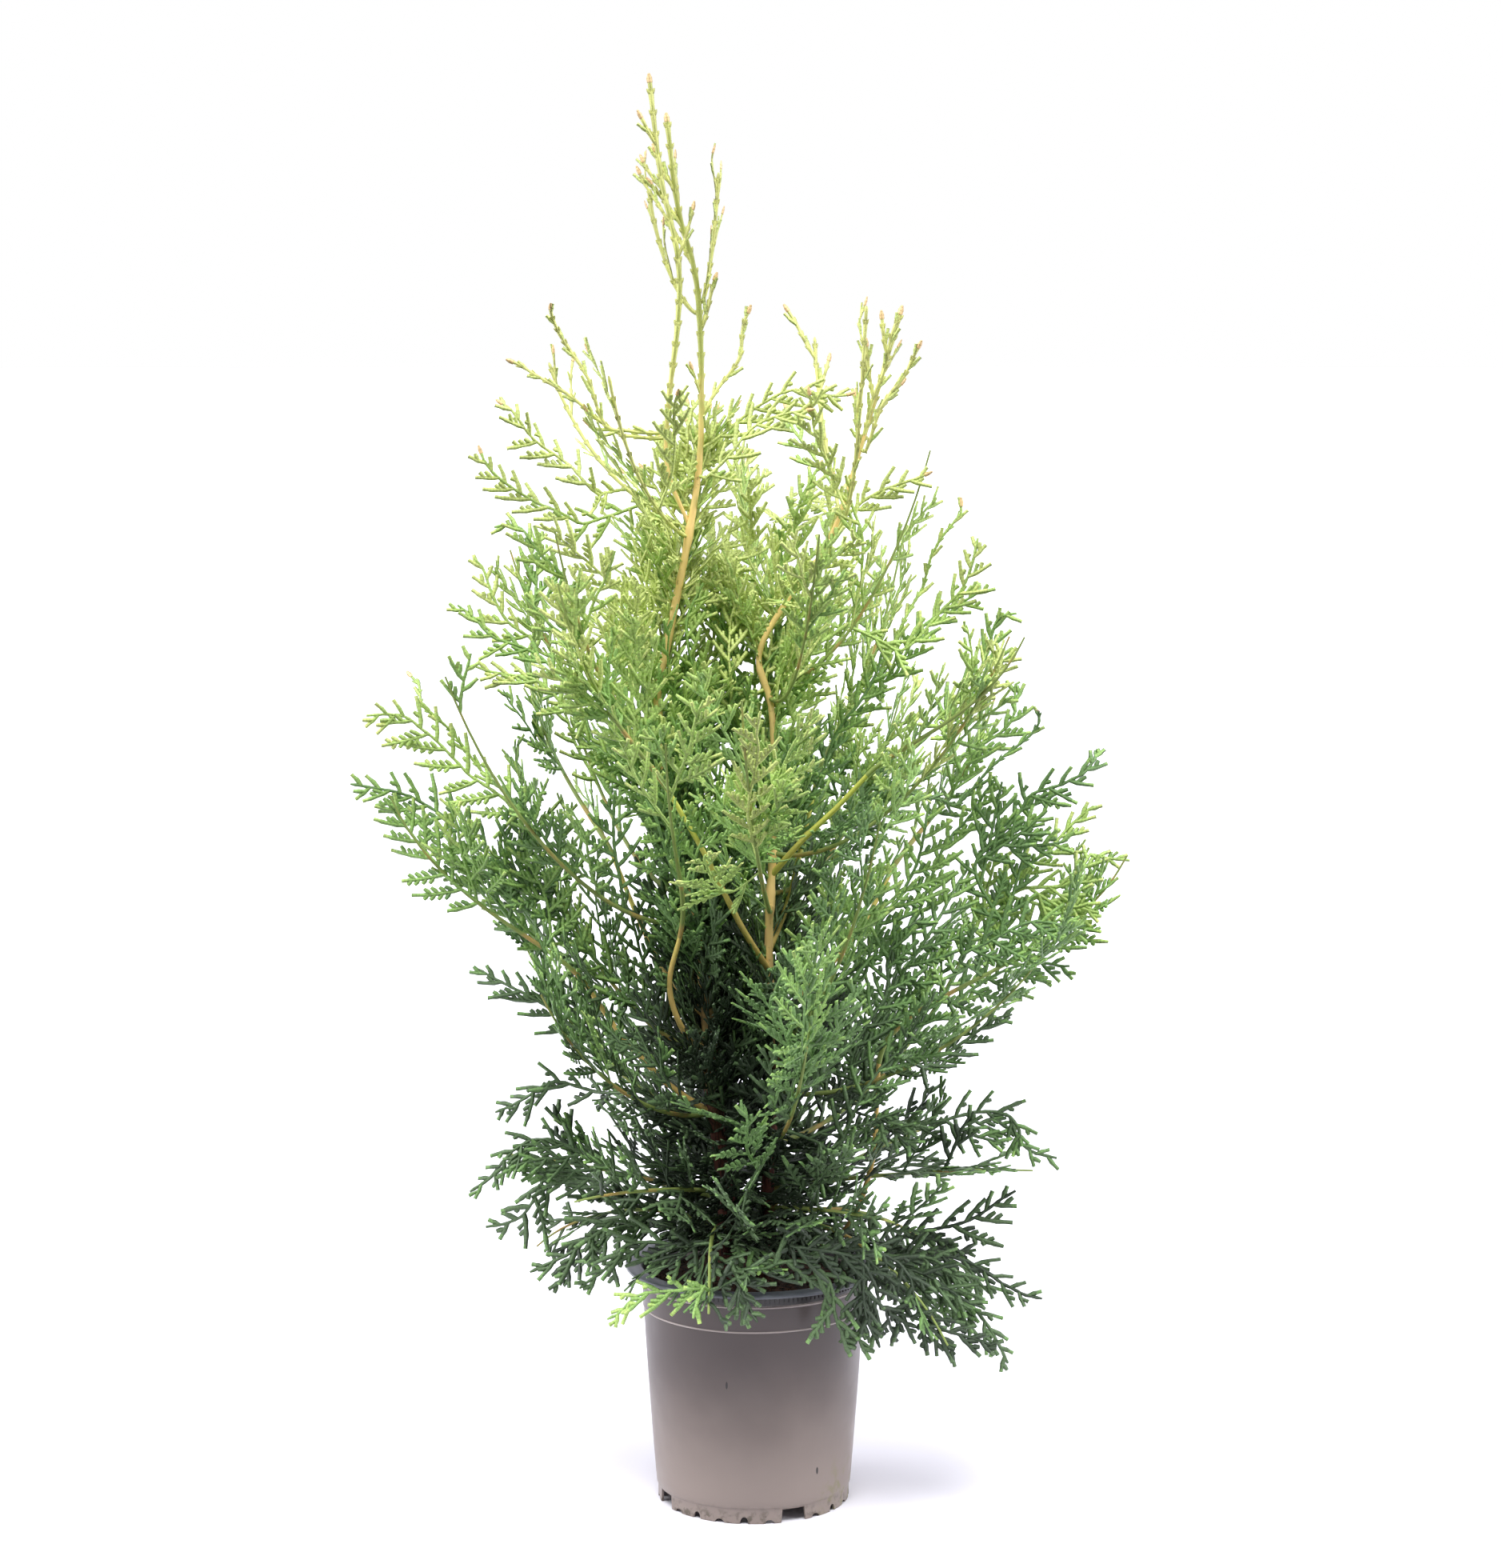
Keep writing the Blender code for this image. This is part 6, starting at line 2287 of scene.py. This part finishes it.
    def bud(self, path: Path, face: Vector, girth: float) -> None:
        """Write the amber bud at the tip of a fresh shoot.

        Args:
            path: The line of the shoot.
            face: The way its flat side looks.
            girth: The half width of its axis.
        """
        heading = path.heading(path.length)
        tip = path.points[-1]
        back, past = self.bud_reach
        ends = [tip - heading * back, tip + heading * past]
        self.tips.add(ends, [girth * self.bud_girth] * 2, face, self.bud_pitch)

    def internodes(self, path: Path, girth: float, length: float, face: Vector, strands: Strands) -> None:
        """Write an axis in pressed scales that flare at each node, as on leading shoots.

        Args:
            path: The line of the shoot.
            girth: The half width at its foot.
            length: The distance between nodes.
            face: The way its flat side looks.
            strands: The strands that it is written to.
        """
        marks, points = path.spaced(self.scale_step, 6)
        least, rise = self.node_flare
        flares = [least + rise * (mark / length % 1.0) ** 2 for mark in marks]
        tapers = [blend(1.0, self.node_taper, mark / path.length) for mark in marks]
        girths = [girth * flare * taper for flare, taper in zip(flares, tapers)]
        strands.add(points, girths, face, self.scale_pitch)
        back, past = self.node_reach
        inner, outer = self.node_width
        node = length
        while node < path.length - self.bare_tip:
            heading = path.heading(node)
            across = face.cross(heading).normalized() * girth
            for side in (-1.0, 1.0):
                foot = path.at(node - back) + across * (inner * side)
                point = path.at(node) + heading * past + across * (outer * side)
                strands.add([foot, point], [girth * self.node_girth] * 2, face, self.node_pitch)
            node += length

    def leader(self, limb: Limb, from_height: float, draw: random.Random) -> None:
        """Clothe the upper end of a stem in pressed scales with short side shoots.

        Args:
            limb: The stem.
            from_height: Where its scales begin.
            draw: The source of chance.
        """
        path = limb.path.beyond(limb.path.at_height(from_height))
        face = Vector(self.leader_face).normalized()
        self.internodes(path, self.leader_girth, self.internode, face, self.leading)
        self.bud(path, face, self.leader_girth * self.leader_bud)
        place, side = self.internode, 1.0
        while place < path.length - 0.5 * self.internode:
            forward = path.heading(place)
            turn = draw.uniform(-self.leader_turn, self.leader_turn)
            outward = turned(face.cross(forward).normalized() * side, forward, turn)
            left = path.length - place
            if draw.random() < self.leader_shoots:
                direction = between(forward, outward, math.radians(draw.uniform(*self.leader_angles)))
                length = min(draw.uniform(*self.leader_lengths), left * self.leader_room)
                lift = forward * (self.leader_bow * length)
                twig = bowed_path(path.at(place), direction, length, lift, 6)
                spray = Spray(twig, forward.cross(outward).normalized(), Habit.LEADING)
                self.grow(spray, draw, self.leader_tone)
            side = -side
            place += self.internode * draw.uniform(*self.leader_steps)

    def twig(self, mass: Mass) -> None:
        """Write the green wood of a mass's shoot, or its pressed scales near the top.

        Args:
            mass: The mass.
        """
        path = mass.path
        if path.points[-1].z > self.scaly_from:
            girth = self.shoot_radius * self.scaly_girth
            self.internodes(path, girth, self.internode, FRONT, self.leading)
            return
        girths = [blend(mass.girth, self.shoot_tip_radius, mark / path.length) for mark in path.marks]
        line = self.clear_of_pot(path)
        self.twigs.add(line.points, girths[: len(line.points)], UP, self.twig_pitch)

    def stays(self, spray: Spray, draw: random.Random) -> bool:
        """Return whether a spray hides no bare stretch and is left when the outer crown is thinned.

        Args:
            spray: The spray.
            draw: The source of chance.

        Returns:
            True if it stays.
        """
        tip = spray.path.points[-1]
        thins = self.outline.reach(tip) > self.thin_from
        chances = [read_profile(tip.z, *self.thin_chances) if thins else 0.0]
        for place in OPENINGS:
            if math.hypot(tip.x - place.across, tip.z - place.height) < place.radius:
                chances.append(place.chance)
        thinned = draw.random() < max(chances)
        return not thinned and not any(self.hides_stem(point) for point in spray.path.points[1:])

    def grow_all(self) -> None:
        """Grow every spray of the crown."""
        noise.seed_set(self.waver_seed)
        draw = random.Random(self.fine_seed + 2)
        masses = self.masses()
        sprays: list[Spray] = []
        for mass in masses:
            self.twig(mass)
            sprays += self.mass_sprays(mass)
        carriers = [carrier.path for carrier in (*masses, *self.wood.limbs)]
        seats = [point for path in carriers for point in path.points[2:-3]]
        sprays += self.core()
        sprays += self.depth_sprays(seats)
        kept = []
        for spray in sprays:
            line = self.clear_of_pot(spray.path)
            if self.stays(spray, draw) and line:
                kept.append(replace(spray, path=line))
        for spray in [*kept, *self.outer_sprays(seats)]:
            self.grow(spray, draw)
        for limb, height in self.leader_feet:
            self.leader(limb, height, draw)
        LOG.info("%d of %d rule sprays, %d outer shoots", len(kept), len(sprays), len(OUTER_SHOOTS))

    def mass_nodes(self) -> dict[str, list[str]]:
        """Sort the foliage nodes of the frame.

        Returns:
            The names of the nodes by the slot of the foliage at their height.
        """
        found: dict[str, list[str]] = {slot: [] for slot in TONE_SLOTS}
        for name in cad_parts:
            if "_mass" in name:
                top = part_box(name)[1].z
                slot = next(slot for limit, slot in SLOT_TOPS if top < limit)
                found[slot].append(name)
        return found

    def build(self) -> None:
        """Grow the crown and build its pieces in place of the foliage nodes."""
        self.grow_all()
        waiting = self.mass_nodes()
        tree = scale_strand_tree()
        sizes = {"Flatness": 0.52, "Swell": 0.25, "Tip Length": 0.0016, "Tip Share": 0.72}
        for finish, slot, group in zip(LEAF_TONES, TONE_SLOTS, self.leaves):
            given = {**sizes, "Material": finish.material()}
            for number, strands in enumerate(group, 1):
                settle(strands.shaped(f"{finish.name}_{number}", tree, given), slot, waiting.pop(slot, []))
        fine = (("leading_shoots", self.leading, LEADING_SCALE), ("amber_tips", self.tips, TIP_AMBER))
        for name, strands, finish in fine:
            given = {**sizes, "Swell": 0.0, "Tip Share": 0.4, "Material": finish.material()}
            settle(strands.shaped(name, tree, given), "foliage_lime")
        given = {"Sides": 6, "Relief": 0.0002, "Furrow": 0.003, "Stretch": 3.0}
        given["Material"] = GREEN_TWIG.material()
        settle(self.twigs.shaped("green_twigs", self.wood.tree, given), "young_bark")


# Studio


@dataclass(frozen=True)
class Lamp:
    """A soft distant light: where it stands as azimuth and elevation, its strength and softness."""

    name: str
    azimuth: float
    elevation: float
    strength: float
    softness: float


@dataclass(frozen=True)
class Studio:
    """The camera, the paper floor and the soft white light of a product photograph."""

    camera_tilt: float = 7.51
    sensor: float = 36.0
    picture_height: float = 1960.0
    focal_pixels: float = 4421.0
    floor_radius: float = 60.0
    near_radius: float = 0.42
    floor_sides: int = 96
    floor_gap: float = 0.0002
    backdrop: str = "#ffffff"
    air: str = "#f4f3ff"
    air_strength: tuple = (0.20, 1.0)
    air_turn: float = 0.3
    air_below: float = 0.1
    horizon: float = 0.1
    lamps: tuple = (
        Lamp("left_softbox", 276.0, 15.0, 2.85, 50.0),
        Lamp("right_softbox", 82.0, 15.0, 2.5, 50.0),
        Lamp("front_softbox", 354.0, 64.0, 2.6, 26.0),
        Lamp("top_softbox", 0.0, 85.0, 0.8, 60.0),
    )

    def camera(self) -> None:
        """Place the camera where the photograph was taken from."""
        data = bpy.data.cameras.new("camera")
        data.sensor_width = self.sensor
        data.lens = self.sensor * self.focal_pixels / self.picture_height
        data.clip_end = 4.0 * self.floor_radius
        obj = bpy.data.objects.new("camera", data)
        obj.location = VIEWPOINT
        obj.rotation_euler = (math.radians(90.0 - self.camera_tilt), 0.0, 0.0)
        bpy.context.scene.collection.objects.link(obj)
        bpy.context.scene.camera = obj

    def floor(self) -> None:
        """Lay the pale paper floor: a near disc that throws light up, and a far one that doesn't."""
        count = self.floor_sides
        near = [toward(360.0 * side / count) * self.near_radius for side in range(count)]
        far = [point * (self.floor_radius / self.near_radius) for point in near]
        low = -UP * self.floor_gap
        disc = mesh_object("near_floor", [point + low for point in near], faces=[range(count)])
        sides = [(side, (side + 1) % count) for side in range(count)]
        quads = [(side, side + count, after + count, after) for side, after in sides]
        ring = mesh_object("far_floor", [point + low for point in near + far], faces=quads)
        ring.visible_diffuse = False
        for part in (disc, ring):
            part.data.materials.append(FLOOR_PAPER.material())

    def light(self) -> None:
        """Set the even white surround and the soft lights."""
        world = bpy.data.worlds.new("white_studio")
        world.use_nodes = True
        tree = world.node_tree
        air = tree.nodes["Background"]
        air.inputs["Color"].default_value = linear(self.air)
        ways = add_node(tree, "ShaderNodeTexCoord")["Generated"]
        axes = add_node(tree, AXES, {}, {"Vector": ways})
        front, back = self.air_strength
        given = {"Value": axes["Y"], "From Min": -1.0, "From Max": self.air_turn}
        around = add_node(tree, MAP_RANGE, {}, {**given, "To Min": front, "To Max": back})["Result"]
        given = {"Value": axes["Z"], "From Min": -self.horizon, "From Max": self.horizon}
        above = add_node(tree, MAP_RANGE, {}, {**given, "To Min": self.air_below})["Result"]
        strength = add_node(tree, MATH, MULTIPLY, {0: around, 1: above})["Value"]
        tree.links.new(strength, air.inputs["Strength"])
        paper = add_node(tree, "ShaderNodeBackground", {}, {"Color": linear(self.backdrop)})[0]
        seen = add_node(tree, "ShaderNodeLightPath")["Is Camera Ray"]
        both = add_node(tree, "ShaderNodeMixShader", {}, {0: seen, 1: air.outputs[0], 2: paper})[0]
        tree.links.new(both, tree.nodes["World Output"].inputs["Surface"])
        bpy.context.scene.world = world
        for lamp in self.lamps:
            data = bpy.data.lights.new(lamp.name, "SUN")
            data.energy = lamp.strength
            data.angle = math.radians(lamp.softness)
            obj = bpy.data.objects.new(lamp.name, data)
            source = between(toward(lamp.azimuth), UP, math.radians(lamp.elevation))
            obj.rotation_euler = source.to_track_quat("Z", "Y").to_euler()
            bpy.context.scene.collection.objects.link(obj)

    def build(self) -> None:
        """Set up the studio."""
        self.camera()
        self.floor()
        self.light()
        bpy.context.scene.view_settings.view_transform = "Standard"


def main() -> None:
    """Build the studio, the pot, the mix, the crown and the wood that carries it."""
    logging.basicConfig(level=logging.INFO, format="%(name)s: %(message)s")
    Studio().build()
    Pot().build()
    PottingMix().build()
    wood = Wood()
    crown = Crown(wood)
    crown.build()
    wood.build(crown.collars)


if __name__ == "__main__":
    main()
